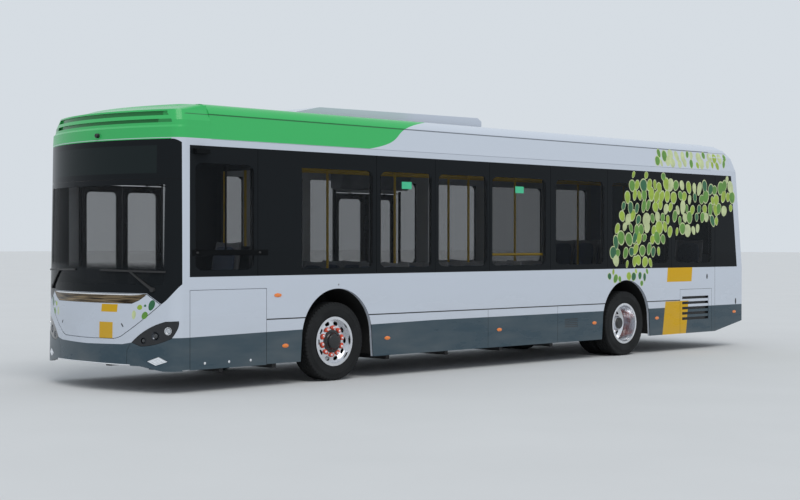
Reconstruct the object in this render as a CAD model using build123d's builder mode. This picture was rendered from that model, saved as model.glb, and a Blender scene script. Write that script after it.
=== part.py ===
"""Twelve-metre low-entry electric city bus.

Frame: millimetres, +Z up, the nose towards -Y, the driver's side (no doors) towards +X and the
door side towards -X. The origin lies on the ground under the middle of the body.
"""

import os
from math import atan2, copysign, cos, degrees, sin, sqrt

from build123d import *

os.makedirs("parts", exist_ok=True)

# Driving dimensions of the body
LENGTH = 12000.0
HALF_WIDTH = 1275.0
WALL = 45.0
GLASS = 8.0
GAP = 6.0
NOSE_Y = -LENGTH / 2
TAIL_Y = LENGTH / 2

# Heights above the ground
SKIRT_Z = 270.0
BELT_Z = 1305.0
BAND_TOP_Z = 2785.0
WALL_TOP_Z = 2860.0
COVE_Z = 3145.0
ROOF_EDGE_Z = 3275.0
CEILING_Z = 2790.0
FLOOR_Z = 340.0
FLOOR_THICKNESS = 40.0
PODIUM_Z = 640.0

# Nose in plan: a large arc with a rounded corner on each side, leaning back from its foot to the roof
NOSE_RADIUS = 2700.0
NOSE_CORNER = 170.0
NOSE_LEAN = 50.0
NOSE_FOOT_Z = 250.0
NOSE_MARGIN = 25.0
PILLAR_BACK_Y = -5490.0
SCREEN_SIDE_Y = -5590.0

# Tail in plan and in side view
TAIL_RADIUS = 26000.0
TAIL_CORNER = 60.0
TAIL_SEAM_Y = 5130.0
TAIL_LOW_Z = 430.0
TAIL_BELT_Z = 1310.0
TAIL_LEAN = 195.0

# Roof fairing profile
FAIRING_LEAN = 50.0
FAIRING_TOP_X = 1050.0
FAIRING_INNER_X = 880.0
FAIRING_SKIN = 30.0
FAIRING_TOP_Z = ROOF_EDGE_Z + 8.0
COVE_LINE = 8.0
FRONT_CAP_BACK_Y = -5180.0

# Running gear
FRONT_AXLE_Y = -3220.0
REAR_AXLE_Y = 2730.0
WHEEL_Z = 482.0
TYRE_RADIUS = 482.0
TYRE_HALF_WIDTH = 137.0
BEAD_RADIUS = 286.0
BEAD_HALF_WIDTH = 119.0
FLANGE_RADIUS = 303.0
FRONT_WHEEL_X = 1090.0
KINGPIN_X = 980.0
TWIN_OUTER_X = 1108.0
TWIN_INNER_X = 797.0
ARCH_RADIUS = 587.0
ARCH_CENTRE_Z = 545.0
ARCH_FOOT = 610.0
HOUSING_SKIN = 20.0
FRONT_HOUSING_X = 600.0
REAR_HOUSING_X = 630.0

# Doors: two portals on the right-hand side, each with two leaves that swing inwards
DOOR_SILL_Z = 346.0
DOOR_HEAD_Z = 2420.0
PORTAL_WIDTH = 1260.0
PORTAL_CENTRES = {"front": -4620.0, "middle": -300.0}
LEAF_WIDTH = 604.0
LEAF_THICKNESS = 35.0
LEAF_START = 18.0
LEAF_DEPTH = 5.0
LEAF_BOTTOM_Z = 362.0
LEAF_TOP_Z = 2412.0
COLUMN_RADIUS = 20.0
COLUMN_U = -35.0
COLUMN_V = 90.0
PIVOT_U = 275.9
PIVOT_V = 80.0
PIN_RADIUS = 9.0
ARM_LOW_Z = 346.0
ARM_THICKNESS = 10.0
COLUMN_TOP_Z = 2450.0

# Openings in the nose, and the lids with the seat behind them
SCREEN_HALF_WIDTH = 1140.0
SCREEN_LOW_Z = 1200.0
SCREEN_HIGH_Z = 2360.0
LID_THICKNESS = 20.0
LID_SEAT = 25.0
GROOVE = 5.0
GROOVE_DEPTH = 3.0

# Roof, floor and underframe
DECK_FRONT_Y = -5480.0
DECK_BACK_Y = 5560.0
REAR_CAP_FRONT_Y = 5000.0
BATTERY_HEIGHT = 330.0
HOUSING_FOOT_Z = 300.0
DRIVER_X = 720.0
DRIVER_Y = -4620.0
DASH_HALF_WIDTH = 1130.0
DASH_INSET = 130.0
CAB_BACK_Y = -4360.0
KINGPIN_RADIUS = 18.0
REAR_BEAM_X = 640.0
DISC = 14.0
TWIN_FACE = (TWIN_OUTER_X - TWIN_INNER_X) / 2
AXLE_SLOT = 300.0
FLOOR_HALF_WIDTH = HALF_WIDTH - WALL
FLOOR_FRONT_Y = -5480.0
FLOOR_BACK_Y = 5240.0
STEP_Y = 1600.0
STEP_Z = 490.0
PODIUM_Y = 1900.0
PLATFORM_X = 330.0
PLATFORM_Y = -4900.0
PLATFORM_LENGTH = 1160.0
PLATFORM_HEIGHT = 260.0
PLATFORM_Z = FLOOR_Z + PLATFORM_HEIGHT
RAIL_Z = 215.0
RAIL_X = 430.0
RAIL_CENTRE_Y = -1750.0
RAIL_LENGTH = 7300.0
LOW_CROSS_MEMBERS = (-5000.0, -4200.0, -2300.0, -1200.0, -100.0, 1000.0)
HIGH_CROSS_MEMBERS = (3650.0, 4700.0)
FRONT_SPRING_X = 720.0
FRONT_SPRING_RADIUS = 85.0
SPRING_TOWER_Z = 800.0


def made(builder, name):
    """Label a finished piece and write it to its own file."""
    builder.part.label = name
    export_step(builder.part, f"parts/{name}.step")


def nose_points(inset, lean, half_width=HALF_WIDTH):
    """Key points of the nose outline in plan, for the right half.

    The nose arc, the corner arc and the side share centres, so an inset outline is parallel.
    """
    arc_y = NOSE_Y + lean + NOSE_RADIUS
    corner_x = half_width - NOSE_CORNER
    corner_y = arc_y - sqrt((NOSE_RADIUS - NOSE_CORNER) ** 2 - corner_x**2)
    turn = atan2(corner_y - arc_y, corner_x)
    return {
        "middle": (0.0, arc_y - NOSE_RADIUS + inset),
        "join": ((NOSE_RADIUS - inset) * cos(turn), arc_y + (NOSE_RADIUS - inset) * sin(turn)),
        "corner": (
            corner_x + (NOSE_CORNER - inset) * cos(turn / 2),
            corner_y + (NOSE_CORNER - inset) * sin(turn / 2),
        ),
        "side": (half_width - inset, corner_y),
    }


def tail_points(inset, lean, half_width=HALF_WIDTH):
    """Key points of the tail outline in plan, for the right half."""
    arc_y = TAIL_Y - lean - TAIL_RADIUS
    corner_x = half_width - TAIL_CORNER
    corner_y = arc_y + sqrt((TAIL_RADIUS - TAIL_CORNER) ** 2 - corner_x**2)
    turn = atan2(corner_y - arc_y, corner_x)
    return {
        "middle": (0.0, arc_y + TAIL_RADIUS - inset),
        "join": ((TAIL_RADIUS - inset) * cos(turn), arc_y + (TAIL_RADIUS - inset) * sin(turn)),
        "corner": (
            corner_x + (TAIL_CORNER - inset) * cos(turn / 2),
            corner_y + (TAIL_CORNER - inset) * sin(turn / 2),
        ),
        "side": (half_width - inset, corner_y),
    }


def flip(point):
    """Mirror a plan point to the other side of the bus."""
    return (-point[0], point[1])


def draw_end(points, back_y):
    """Draw an outline round one end of the body, from side to side, inside a BuildLine."""
    Line((points["side"][0], back_y), points["side"])
    ThreePointArc(points["side"], points["corner"], points["join"])
    ThreePointArc(points["join"], points["middle"], flip(points["join"]))
    ThreePointArc(flip(points["join"]), flip(points["corner"]), flip(points["side"]))
    Line(flip(points["side"]), (-points["side"][0], back_y))


def end_band(plane, key_points, lean, outer, inner, back_y):
    """Sketch on a plane of the end wall's section between two insets."""
    with BuildSketch(plane) as band:
        with BuildLine():
            draw_end(key_points(outer, lean), back_y)
            draw_end(key_points(inner, lean), back_y)
            for side in (1, -1):
                Line((side * (HALF_WIDTH - outer), back_y), (side * (HALF_WIDTH - inner), back_y))
        make_face()
    return band.sketch


def nose_shell(outer, inner):
    """Wall round the nose between two insets: upright arcs tipped back about the foot of the nose."""
    rise = Vector(0, NOSE_LEAN, WALL_TOP_Z - NOSE_FOOT_Z)
    foot = Plane(origin=(0, NOSE_Y, NOSE_FOOT_Z), x_dir=(1, 0, 0), z_dir=rise)
    # The sketch's own y starts at the tip of the nose
    back_y = PILLAR_BACK_Y - NOSE_Y + NOSE_MARGIN
    with BuildPart() as shell:
        extrude(
            end_band(foot.offset(-NOSE_MARGIN), nose_points, -NOSE_Y, outer, inner, back_y),
            amount=rise.length + 2 * NOSE_MARGIN,
        )
        split(bisect_by=Plane.XY.offset(NOSE_FOOT_Z), keep=Keep.TOP)
        split(bisect_by=Plane.XY.offset(WALL_TOP_Z), keep=Keep.BOTTOM)
        split(bisect_by=Plane.XZ.offset(-PILLAR_BACK_Y), keep=Keep.TOP)
    return shell.part


TAIL_SECTIONS = ((SKIRT_Z, 0.0), (TAIL_BELT_Z, 0.0), (WALL_TOP_Z, TAIL_LEAN))


def tail_shell(outer, inner):
    """Wall round the tail between two insets: its plan outline pushed up through (height, lean)."""
    with BuildPart() as shell:
        for (low_z, low_lean), (high_z, high_lean) in zip(TAIL_SECTIONS, TAIL_SECTIONS[1:]):
            rise = (0, low_lean - high_lean, high_z - low_z)
            extrude(
                end_band(Plane.XY.offset(low_z), tail_points, low_lean, outer, inner, TAIL_SEAM_Y),
                amount=Vector(rise).length,
                dir=rise,
            )
        # The leaning part is cut back to the seam
        split(bisect_by=Plane.XZ.offset(-TAIL_SEAM_Y), keep=Keep.BOTTOM)
    return shell.part


def nose_skin(x, z):
    """Plane on the nose at (x, z), with its Z direction along the outward normal."""
    lean = NOSE_LEAN * (z - NOSE_FOOT_Z) / (WALL_TOP_Z - NOSE_FOOT_Z)
    key = nose_points(0, lean)
    arc_y = NOSE_Y + lean + NOSE_RADIUS
    if abs(x) < key["join"][0]:
        y = arc_y - sqrt(NOSE_RADIUS**2 - x**2)
        normal = (x, y - arc_y, 0)
    else:
        corner_x = copysign(HALF_WIDTH - NOSE_CORNER, x)
        y = key["side"][1] - sqrt(NOSE_CORNER**2 - (x - corner_x) ** 2)
        normal = (x - corner_x, y - key["side"][1], 0)
    return Plane(origin=(x, y, z), x_dir=(-normal[1], normal[0], 0), z_dir=normal)


# Outlines on the nose, drawn from the front: x across, z up
def screen_outline(shrink=0.0):
    """Black glass area: windscreen below, sign glass above, with a pointed lower corner."""
    with BuildSketch(Plane.XZ.offset(5000)) as outline:
        with BuildLine():
            Polyline((0, 2850), (1200, 2850))
            ThreePointArc((1200, 2850), (1252, 2825), (1270, 2740))
            Polyline((1270, 2740), (1300, 2600), (1300, 1400))
            ThreePointArc((1300, 1400), (1256, 1188), (1100, 1004))
            Polyline((1100, 1004), (924, 1122), (0, 1122))
            mirror(about=Plane.YZ)
        make_face()
        if shrink:
            offset(amount=-shrink)
    return outline.sketch


def flap_outline(shrink=0.0):
    """Front service flap: wide top edge, pointed ends, rounded bottom."""
    with BuildSketch(Plane.XZ.offset(5000)) as outline:
        with BuildLine():
            Polyline((0, 1118), (924, 1118), (1096, 1000))
            ThreePointArc((1096, 1000), (853, 806), (640, 665))
            ThreePointArc((640, 665), (560, 622), (470, 602))
            Line((470, 602), (0, 596))
            mirror(about=Plane.YZ)
        make_face()
        if shrink:
            offset(amount=-shrink)
    return outline.sketch


def lamp_outlines(shrink=0.0):
    """Head lamp clusters that wrap the corners of the bumper, one on each side."""
    with BuildSketch(Plane.XZ.offset(5000)) as outline:
        for side in (1, -1):
            with BuildLine():
                ThreePointArc((side * 731, 568), (side * 930, 720), (side * 1150, 811))
                Line((side * 1150, 811), (side * 1262, 817))
                ThreePointArc((side * 1262, 817), (side * 1254, 715), (side * 1216, 622))
                ThreePointArc((side * 1216, 622), (side * 990, 542), (side * 850, 527))
                Line((side * 850, 527), (side * 731, 568))
            make_face()
        if shrink:
            offset(amount=-shrink)
    return outline.sketch


def bumper_outline():
    """Bumper: low across the middle, rising round the lamps to the corner."""
    with BuildSketch(Plane.XZ.offset(5000)) as outline:
        with BuildLine():
            Polyline((0, 534), (600, 546), (731, 568))
            ThreePointArc((731, 568), (930, 720), (1150, 811))
            Polyline((1150, 811), (1300, 819), (1300, 255), (1125, 255), (850, 306), (0, 312))
            mirror(about=Plane.YZ)
        make_face()
    return outline.sketch


CUT_DEPTH = 1200.0


# Front glass: windscreen and the sign glass above it
GLASS_SPLIT_Z = 2400.0
with BuildPart() as front_glass:
    add(nose_shell(0, GLASS + 4))
    split(bisect_by=Plane.XZ.offset(-SCREEN_SIDE_Y), keep=Keep.TOP)
    extrude(screen_outline(), amount=CUT_DEPTH, mode=Mode.INTERSECT)
    with BuildSketch(Plane.XY.offset(GLASS_SPLIT_Z)):
        with Locations((0, NOSE_Y)):
            Rectangle(3000, 2000)
    extrude(amount=GAP, mode=Mode.SUBTRACT)
made(front_glass, "front_glass")

# Front service flap with the long recess for its garnish; it folds down on its lower edge
GARNISH_DEPTH = 6.0
FLAP_THICKNESS = 12.0
FLAP_SEAT = 18.0
FLAP_GAP = 8.0
with BuildPart() as front_flap:
    add(nose_shell(0, FLAP_THICKNESS))
    extrude(flap_outline(FLAP_GAP), amount=CUT_DEPTH, mode=Mode.INTERSECT)
with BuildPart() as garnish_recess:
    add(nose_shell(-5, GARNISH_DEPTH))
    with BuildSketch(Plane.XZ.offset(5000)):
        with BuildLine():
            Polyline((0, 1140), (940, 1140), (900, 1090), (822, 1040), (730, 1004), (0, 1004))
            mirror(about=Plane.YZ)
        make_face()
    extrude(amount=CUT_DEPTH, mode=Mode.INTERSECT)
with front_flap:
    add(garnish_recess.part, mode=Mode.SUBTRACT)
made(front_flap, "front_flap")

# Bumper and head lamps
BUMPER_THICKNESS = 60.0
LAMP_THICKNESS = 50.0
with BuildPart() as lamp_pockets:
    add(nose_shell(-5, LAMP_THICKNESS))
    extrude(lamp_outlines(), amount=CUT_DEPTH, mode=Mode.INTERSECT)

# Round units of each head lamp: (x, z, radius), sunk into its face
LAMP_UNITS = ((1180.0, 706.0, 46.0), (1036.0, 648.0, 52.0), (886.0, 592.0, 40.0))
LAMP_UNIT_DEPTH = 24.0
with BuildPart() as head_lamps:
    add(nose_shell(2, LAMP_THICKNESS))
    split(bisect_by=Plane.XZ.offset(-SCREEN_SIDE_Y), keep=Keep.TOP)
    extrude(lamp_outlines(4.0), amount=CUT_DEPTH, mode=Mode.INTERSECT)
    for x, z, radius in LAMP_UNITS:
        for side in (1, -1):
            with BuildSketch(nose_skin(side * x, z).offset(30)):
                Circle(radius)
            extrude(amount=-30 - LAMP_UNIT_DEPTH, mode=Mode.SUBTRACT)
made(head_lamps, "head_lamps")

# Corners of the four-sided recess of the daylight lamp, then the seam below the head lamp, as (x, z)
DAYLIGHT_CORNERS = ((931, 364), (1078, 420), (1188, 366), (1042, 316))
BUMPER_SEAM = ((715, 556), (672, 480), (665, 290), (670, 290), (677, 480), (720, 556))
with BuildPart() as bumper_marks:
    add(nose_shell(-5, 10))
    with BuildSketch(Plane.XZ.offset(5000)):
        Polygon(*DAYLIGHT_CORNERS, align=None)
        Polygon(*BUMPER_SEAM, align=None)
        mirror(about=Plane.YZ)
    extrude(amount=CUT_DEPTH, mode=Mode.INTERSECT)

with BuildPart() as front_bumper:
    add(nose_shell(0, BUMPER_THICKNESS))
    split(bisect_by=Plane.XZ.offset(-SCREEN_SIDE_Y), keep=Keep.TOP)
    extrude(bumper_outline(), amount=CUT_DEPTH, mode=Mode.INTERSECT)
    add(lamp_pockets.part, mode=Mode.SUBTRACT)
    add(bumper_marks.part, mode=Mode.SUBTRACT)
made(front_bumper, "front_bumper")

# Nose frame: pillars, the surround under the screen, and ledges that the glass and flap seat on
with BuildPart() as flap_seat:
    add(nose_shell(-5, FLAP_SEAT))
    extrude(flap_outline(), amount=CUT_DEPTH, mode=Mode.INTERSECT)

with BuildPart() as glass_seat:
    add(nose_shell(-5, GLASS + 4))
    split(bisect_by=Plane.XZ.offset(-SCREEN_SIDE_Y), keep=Keep.TOP)
    extrude(screen_outline(), amount=CUT_DEPTH, mode=Mode.INTERSECT)

with BuildPart() as bumper_seat:
    add(nose_shell(-5, WALL + BUMPER_THICKNESS))
    split(bisect_by=Plane.XZ.offset(-SCREEN_SIDE_Y), keep=Keep.TOP)
    extrude(bumper_outline(), amount=CUT_DEPTH, mode=Mode.INTERSECT)

with BuildPart() as front_frame:
    add(nose_shell(0, WALL))
    add(flap_seat.part, mode=Mode.SUBTRACT)
    add(glass_seat.part, mode=Mode.SUBTRACT)
    add(bumper_seat.part, mode=Mode.SUBTRACT)
    with BuildSketch(Plane.XZ.offset(5000)):
        # Windscreen opening, then the well behind the flap
        with Locations((0, (SCREEN_LOW_Z + SCREEN_HIGH_Z) / 2)):
            RectangleRounded(2 * SCREEN_HALF_WIDTH, SCREEN_HIGH_Z - SCREEN_LOW_Z, 60)
        with BuildLine():
            Polyline((0, 1070), (880, 1070), (980, 985), (600, 690), (0, 650))
            mirror(about=Plane.YZ)
        make_face()
        # Nothing of the skin hangs below the bumper
        with BuildLine():
            Polyline((0, 240), (1300, 240), (1300, SKIRT_Z), (1125, SKIRT_Z), (850, 306), (0, 312))
            mirror(about=Plane.YZ)
        make_face()
    extrude(amount=CUT_DEPTH, mode=Mode.SUBTRACT)
made(front_frame, "front_frame")


# Side walls: (front edge, rear edge, opening front, opening rear) of each pane, in y
PANES = (
    (-5484, -4500, -5400, -4580),
    (-4494, -2557, -4420, -2640),
    (-2551, -1479, -2470, -1550),
    (-1473, -403, -1400, -470),
    (-397, 910, -330, 780),
    (916, 2250, 1050, 2150),
    (2256, 3900, 2370, 3790),
    (3906, 5124, 4020, 5010),
)
OPENING_LOW_Z = 1380.0
OPENING_HIGH_Z = 2590.0
PORTALS = [(c - PORTAL_WIDTH / 2, c + PORTAL_WIDTH / 2) for c in PORTAL_CENTRES.values()]
SERVICE_FLAP = (-5484.0, -4366.0, 262.0, 1154.0)
LOUVRE = (4200.0, 4940.0, 480.0, 850.0)
LOUVRE_DEPTH = 33.0
SLAT_PITCH = 82.0


def over_portal(pane):
    """Parts of a pane's y range that lie clear of the door portals."""
    pieces = [pane]
    for low, high in PORTALS:
        cut = []
        for a, b in pieces:
            if b <= low or a >= high:
                cut.append((a, b))
                continue
            if a < low - 100:
                cut.append((a, low - GAP))
            if b > high + 100:
                cut.append((high + GAP, b))
        pieces = cut
    return pieces


def wall_outline(side):
    """Side wall from the pillar to the tail seam with its arches, drawn in y and z."""
    with BuildSketch(Plane.YZ.offset(side * HALF_WIDTH)) as outline:
        with BuildLine():
            Polyline(
                (PILLAR_BACK_Y, SKIRT_Z),
                (TAIL_SEAM_Y, SKIRT_Z),
                (TAIL_SEAM_Y, WALL_TOP_Z),
                (PILLAR_BACK_Y, WALL_TOP_Z),
                close=True,
            )
        make_face()
        for axle_y in (FRONT_AXLE_Y, REAR_AXLE_Y):
            with Locations((axle_y, ARCH_CENTRE_Z)):
                Circle(ARCH_RADIUS, mode=Mode.SUBTRACT)
            with BuildLine():
                Polyline(
                    (axle_y - ARCH_RADIUS, ARCH_CENTRE_Z),
                    (axle_y + ARCH_RADIUS, ARCH_CENTRE_Z),
                    (axle_y + ARCH_FOOT, SKIRT_Z - 10),
                    (axle_y - ARCH_FOOT, SKIRT_Z - 10),
                    close=True,
                )
            make_face(mode=Mode.SUBTRACT)
    return outline.sketch


def span(low_y, high_y, low_z, high_z):
    """Rectangle between two corners, inside a BuildSketch on a plane parallel to YZ."""
    with Locations(((low_y + high_y) / 2, (low_z + high_z) / 2)):
        Rectangle(high_y - low_y, high_z - low_z)


def side_panes(side):
    """Sketch of the flush panes of one side."""
    with BuildSketch(Plane.YZ.offset(side * HALF_WIDTH)) as panes:
        for front, rear, _, _ in PANES:
            for low_y, high_y in over_portal((front, rear)) if side < 0 else [(front, rear)]:
                span(low_y, high_y, BELT_Z, BAND_TOP_Z)
        if side < 0:
            for low_y, high_y in PORTALS:
                span(low_y, high_y, DOOR_HEAD_Z + GAP, BAND_TOP_Z)
    return panes.sketch


# Panel joints as shallow grooves: (front y, rear y, low z, high z)
HEM_Z = 795.0
ARCH_EDGE = ARCH_RADIUS - 40
SEAMS = (
    (SERVICE_FLAP[1], FRONT_AXLE_Y - ARCH_EDGE, HEM_Z, HEM_Z + GROOVE),
    (FRONT_AXLE_Y + ARCH_EDGE, REAR_AXLE_Y - ARCH_EDGE, HEM_Z, HEM_Z + GROOVE),
    (REAR_AXLE_Y + ARCH_EDGE, 4140.0, HEM_Z, HEM_Z + GROOVE),
    (-428.0, -428.0 + GROOVE, SKIRT_Z - GROOVE, HEM_Z),
    (1076.0, 1076.0 + GROOVE, SKIRT_Z - GROOVE, HEM_Z),
    (4140.0, 4140.0 + GROOVE, SKIRT_Z - GROOVE, 959.0),
    (5030.0, 5030.0 + GROOVE, SKIRT_Z - GROOVE, 959.0),
    (4140.0, 5030.0 + GROOVE, 959.0, 959.0 + GROOVE),
)
# Small grille of five slots in the skirt ahead of the rear wheel
SKIRT_GRILLE_CENTRE = (1391.0, 541.0)
PORTAL_JOINT = 2.0

for side, name in ((1, "side_wall_left"), (-1, "side_wall_right")):
    with BuildPart() as wall:
        extrude(wall_outline(side), amount=-side * WALL)
        # Seat of the flush glass band
        with BuildSketch(Plane.YZ.offset(side * HALF_WIDTH)):
            span(PILLAR_BACK_Y - 5, TAIL_SEAM_Y + 5, BELT_Z, BAND_TOP_Z)
        extrude(amount=-side * GLASS, mode=Mode.SUBTRACT)
        with BuildSketch(Plane.YZ.offset(side * HALF_WIDTH)):
            for front, rear, low_y, high_y in PANES:
                for a, b in over_portal((low_y, high_y)) if side < 0 else [(low_y, high_y)]:
                    if b - a > 200:
                        span(a, b, OPENING_LOW_Z, OPENING_HIGH_Z)
            if side < 0:
                # Each portal, and a joint above each jamb where the bay over the doors is set in
                for low_y, high_y in PORTALS:
                    span(low_y, high_y, DOOR_SILL_Z, DOOR_HEAD_Z)
                    for joint_y in (low_y - PORTAL_JOINT, high_y):
                        span(joint_y, joint_y + PORTAL_JOINT, DOOR_HEAD_Z - 1, WALL_TOP_Z + 1)
                        span(joint_y, joint_y + PORTAL_JOINT, SKIRT_Z - 1, DOOR_SILL_Z + 1)
        extrude(amount=-side * WALL, mode=Mode.SUBTRACT)
        with BuildSketch(Plane.YZ.offset(side * HALF_WIDTH)):
            for seam in SEAMS:
                if side > 0 or not any(low - 50 < seam[0] < high + 50 for low, high in PORTALS):
                    span(*seam)
            with Locations(SKIRT_GRILLE_CENTRE):
                with GridLocations(0, 27, 1, 5):
                    Rectangle(299, 12)
        extrude(amount=-side * GROOVE_DEPTH, mode=Mode.SUBTRACT)
        if side > 0:
            # Seat and well of the service flap below the driver's window
            with BuildSketch(Plane.YZ.offset(side * HALF_WIDTH)):
                span(PILLAR_BACK_Y - 5, SERVICE_FLAP[1] + GAP, SKIRT_Z - 5, SERVICE_FLAP[3] + GAP)
            extrude(amount=-side * LID_SEAT, mode=Mode.SUBTRACT)
            with BuildSketch(Plane.YZ.offset(side * HALF_WIDTH)):
                span(PILLAR_BACK_Y + 60, SERVICE_FLAP[1] - 60, SKIRT_Z + 100, SERVICE_FLAP[3] - 60)
            extrude(amount=-side * WALL, mode=Mode.SUBTRACT)
        # Rear louvre: a shallow well with four slats across it, joined to both of its ends
        with BuildSketch(Plane.YZ.offset(side * HALF_WIDTH)):
            span(*LOUVRE)
        extrude(amount=-side * LOUVRE_DEPTH, mode=Mode.SUBTRACT)
        with BuildSketch(Plane.YZ.offset(side * (HALF_WIDTH - 5))):
            with Locations(((LOUVRE[0] + LOUVRE[1]) / 2, (LOUVRE[2] + LOUVRE[3]) / 2)):
                with GridLocations(0, SLAT_PITCH, 1, 4):
                    Rectangle(LOUVRE[1] - LOUVRE[0] + 4, SLAT_PITCH / 2)
        extrude(amount=-side * 20)
    made(wall, name)

with BuildPart() as service_flap:
    with BuildSketch(Plane.YZ.offset(HALF_WIDTH)):
        span(*SERVICE_FLAP)
    extrude(amount=-LID_THICKNESS)
    # Finger recesses of its three locks
    with BuildSketch(Plane.YZ.offset(HALF_WIDTH)):
        with Locations((-5276, 330), (-4925, 330), (-4605, 330)):
            Circle(16)
    extrude(amount=-6, mode=Mode.SUBTRACT)
made(service_flap, "service_flap")

# Tail: end wall with the window, the lid and lamps
TAIL_WINDOW = (1060.0, 1500.0, 2560.0)
TAIL_LID = (900.0, 520.0, 1240.0)
TAIL_PANE = (
    (TAIL_SEAM_Y, BELT_Z),
    (TAIL_SEAM_Y + 650, BELT_Z),
    (TAIL_SEAM_Y + 470, BAND_TOP_Z),
    (TAIL_SEAM_Y, BAND_TOP_Z),
)


def tail_patch(boxes, shrink=0.0):
    """Sketch of rectangles seen from behind: (centre x, low z, high z, half width)."""
    with BuildSketch(Plane.XZ.offset(-5000)) as patch:
        for centre_x, low_z, high_z, half in boxes:
            with Locations((centre_x, (low_z + high_z) / 2)):
                Rectangle(2 * (half - shrink), high_z - low_z - 2 * shrink)
    return patch.sketch


WINDOW_PATCH = ((0.0, TAIL_WINDOW[1] - 60, TAIL_WINDOW[2] + 60, TAIL_WINDOW[0]),)
LID_PATCH = ((0.0, TAIL_LID[1], TAIL_LID[2], TAIL_LID[0]),)
LAMP_PATCH = (
    (1085.0, 1000.0, 1240.0, 70.0),
    (-1085.0, 1000.0, 1240.0, 70.0),
    (1085.0, 700.0, 960.0, 70.0),
    (-1085.0, 700.0, 960.0, 70.0),
)

with BuildPart() as tail_window_seat:
    add(tail_shell(-5, GLASS + 4))
    extrude(tail_patch(WINDOW_PATCH), amount=-CUT_DEPTH, mode=Mode.INTERSECT)
with BuildPart() as tail_window:
    add(tail_shell(0, GLASS + 4))
    extrude(tail_patch(WINDOW_PATCH, 3.0), amount=-CUT_DEPTH, mode=Mode.INTERSECT)
with BuildPart() as tail_lid_seat:
    add(tail_shell(-5, LID_SEAT))
    extrude(tail_patch(LID_PATCH), amount=-CUT_DEPTH, mode=Mode.INTERSECT)
with BuildPart() as tail_lid:
    add(tail_shell(0, LID_THICKNESS))
    extrude(tail_patch(LID_PATCH, GAP), amount=-CUT_DEPTH, mode=Mode.INTERSECT)
made(tail_lid, "tail_lid")
with BuildPart() as tail_lamp_seat:
    add(tail_shell(-5, 30))
    extrude(tail_patch(LAMP_PATCH), amount=-CUT_DEPTH, mode=Mode.INTERSECT)

with BuildPart() as tail_wall:
    add(tail_shell(0, WALL))
    # The skirt rises towards the tail
    with BuildSketch(Plane.YZ.offset(-1500)):
        Polygon(
            (TAIL_SEAM_Y - 10, SKIRT_Z - 10),
            (TAIL_SEAM_Y, SKIRT_Z),
            (TAIL_Y, TAIL_LOW_Z),
            (TAIL_Y + 10, TAIL_LOW_Z),
            (TAIL_Y + 10, SKIRT_Z - 10),
            align=None,
        )
    extrude(amount=3000, mode=Mode.SUBTRACT)
    add(tail_window_seat.part, mode=Mode.SUBTRACT)
    add(tail_lid_seat.part, mode=Mode.SUBTRACT)
    add(tail_lamp_seat.part, mode=Mode.SUBTRACT)
    openings = (
        (0.0, TAIL_WINDOW[1], TAIL_WINDOW[2], TAIL_WINDOW[0] - 60),
        (0.0, TAIL_LID[1] + 60, TAIL_LID[2] - 60, TAIL_LID[0] - 60),
    )
    extrude(tail_patch(openings), amount=-CUT_DEPTH, mode=Mode.SUBTRACT)
    # The glass band runs on round the corner as far as the lean allows
    for side in (1, -1):
        with BuildSketch(Plane.YZ.offset(side * (HALF_WIDTH + 5))):
            Polygon(*TAIL_PANE, align=None)
        extrude(amount=-side * (GLASS + 5), mode=Mode.SUBTRACT)
made(tail_wall, "tail_wall")

# All flush panes of the sides and the tail
with BuildPart() as window_panes:
    add(tail_window.part)
    for side in (1, -1):
        extrude(side_panes(side), amount=-side * GLASS)
        with BuildSketch(Plane.YZ.offset(side * HALF_WIDTH)):
            Polygon(*TAIL_PANE, align=None)
            offset(amount=-2)
        extrude(amount=-side * GLASS)
made(window_panes, "window_panes")

# Lamps on the sides (y, z, half length) and at the tail
SIDE_LAMPS = (
    (-4190, 1073, 55),
    (-4070, 472, 40),
    (-2360, 488, 40),
    (-193, 506, 40),
    (1938, 519, 40),
    (3518, 535, 40),
    (5700, 566, 40),
)
with BuildPart() as tail_lamps:
    add(tail_shell(0, 30))
    extrude(tail_patch(LAMP_PATCH, 3.0), amount=-CUT_DEPTH, mode=Mode.INTERSECT)
with BuildPart() as signal_lamps:
    add(tail_lamps.part)
    for side in (1, -1):
        with BuildSketch(Plane.YZ.offset(side * HALF_WIDTH)):
            for y, z, half_length in SIDE_LAMPS:
                if side < 0 and any(low < y < high for low, high in PORTALS):
                    continue
                with Locations((y, z)):
                    SlotOverall(2 * half_length, 34)
        extrude(amount=side * 6)
made(signal_lamps, "signal_lamps")

# Roof deck with the ceiling below it, between and on top of the walls
DECK_TOP_Z = WALL_TOP_Z
with BuildPart() as roof_deck:
    with BuildSketch(Plane.XY.offset(CEILING_Z)):
        with Locations((0, (DECK_FRONT_Y + DECK_BACK_Y) / 2)):
            Rectangle(2 * (HALF_WIDTH - WALL), DECK_BACK_Y - DECK_FRONT_Y)
    extrude(amount=DECK_TOP_Z - CEILING_Z)
made(roof_deck, "roof_deck")


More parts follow.
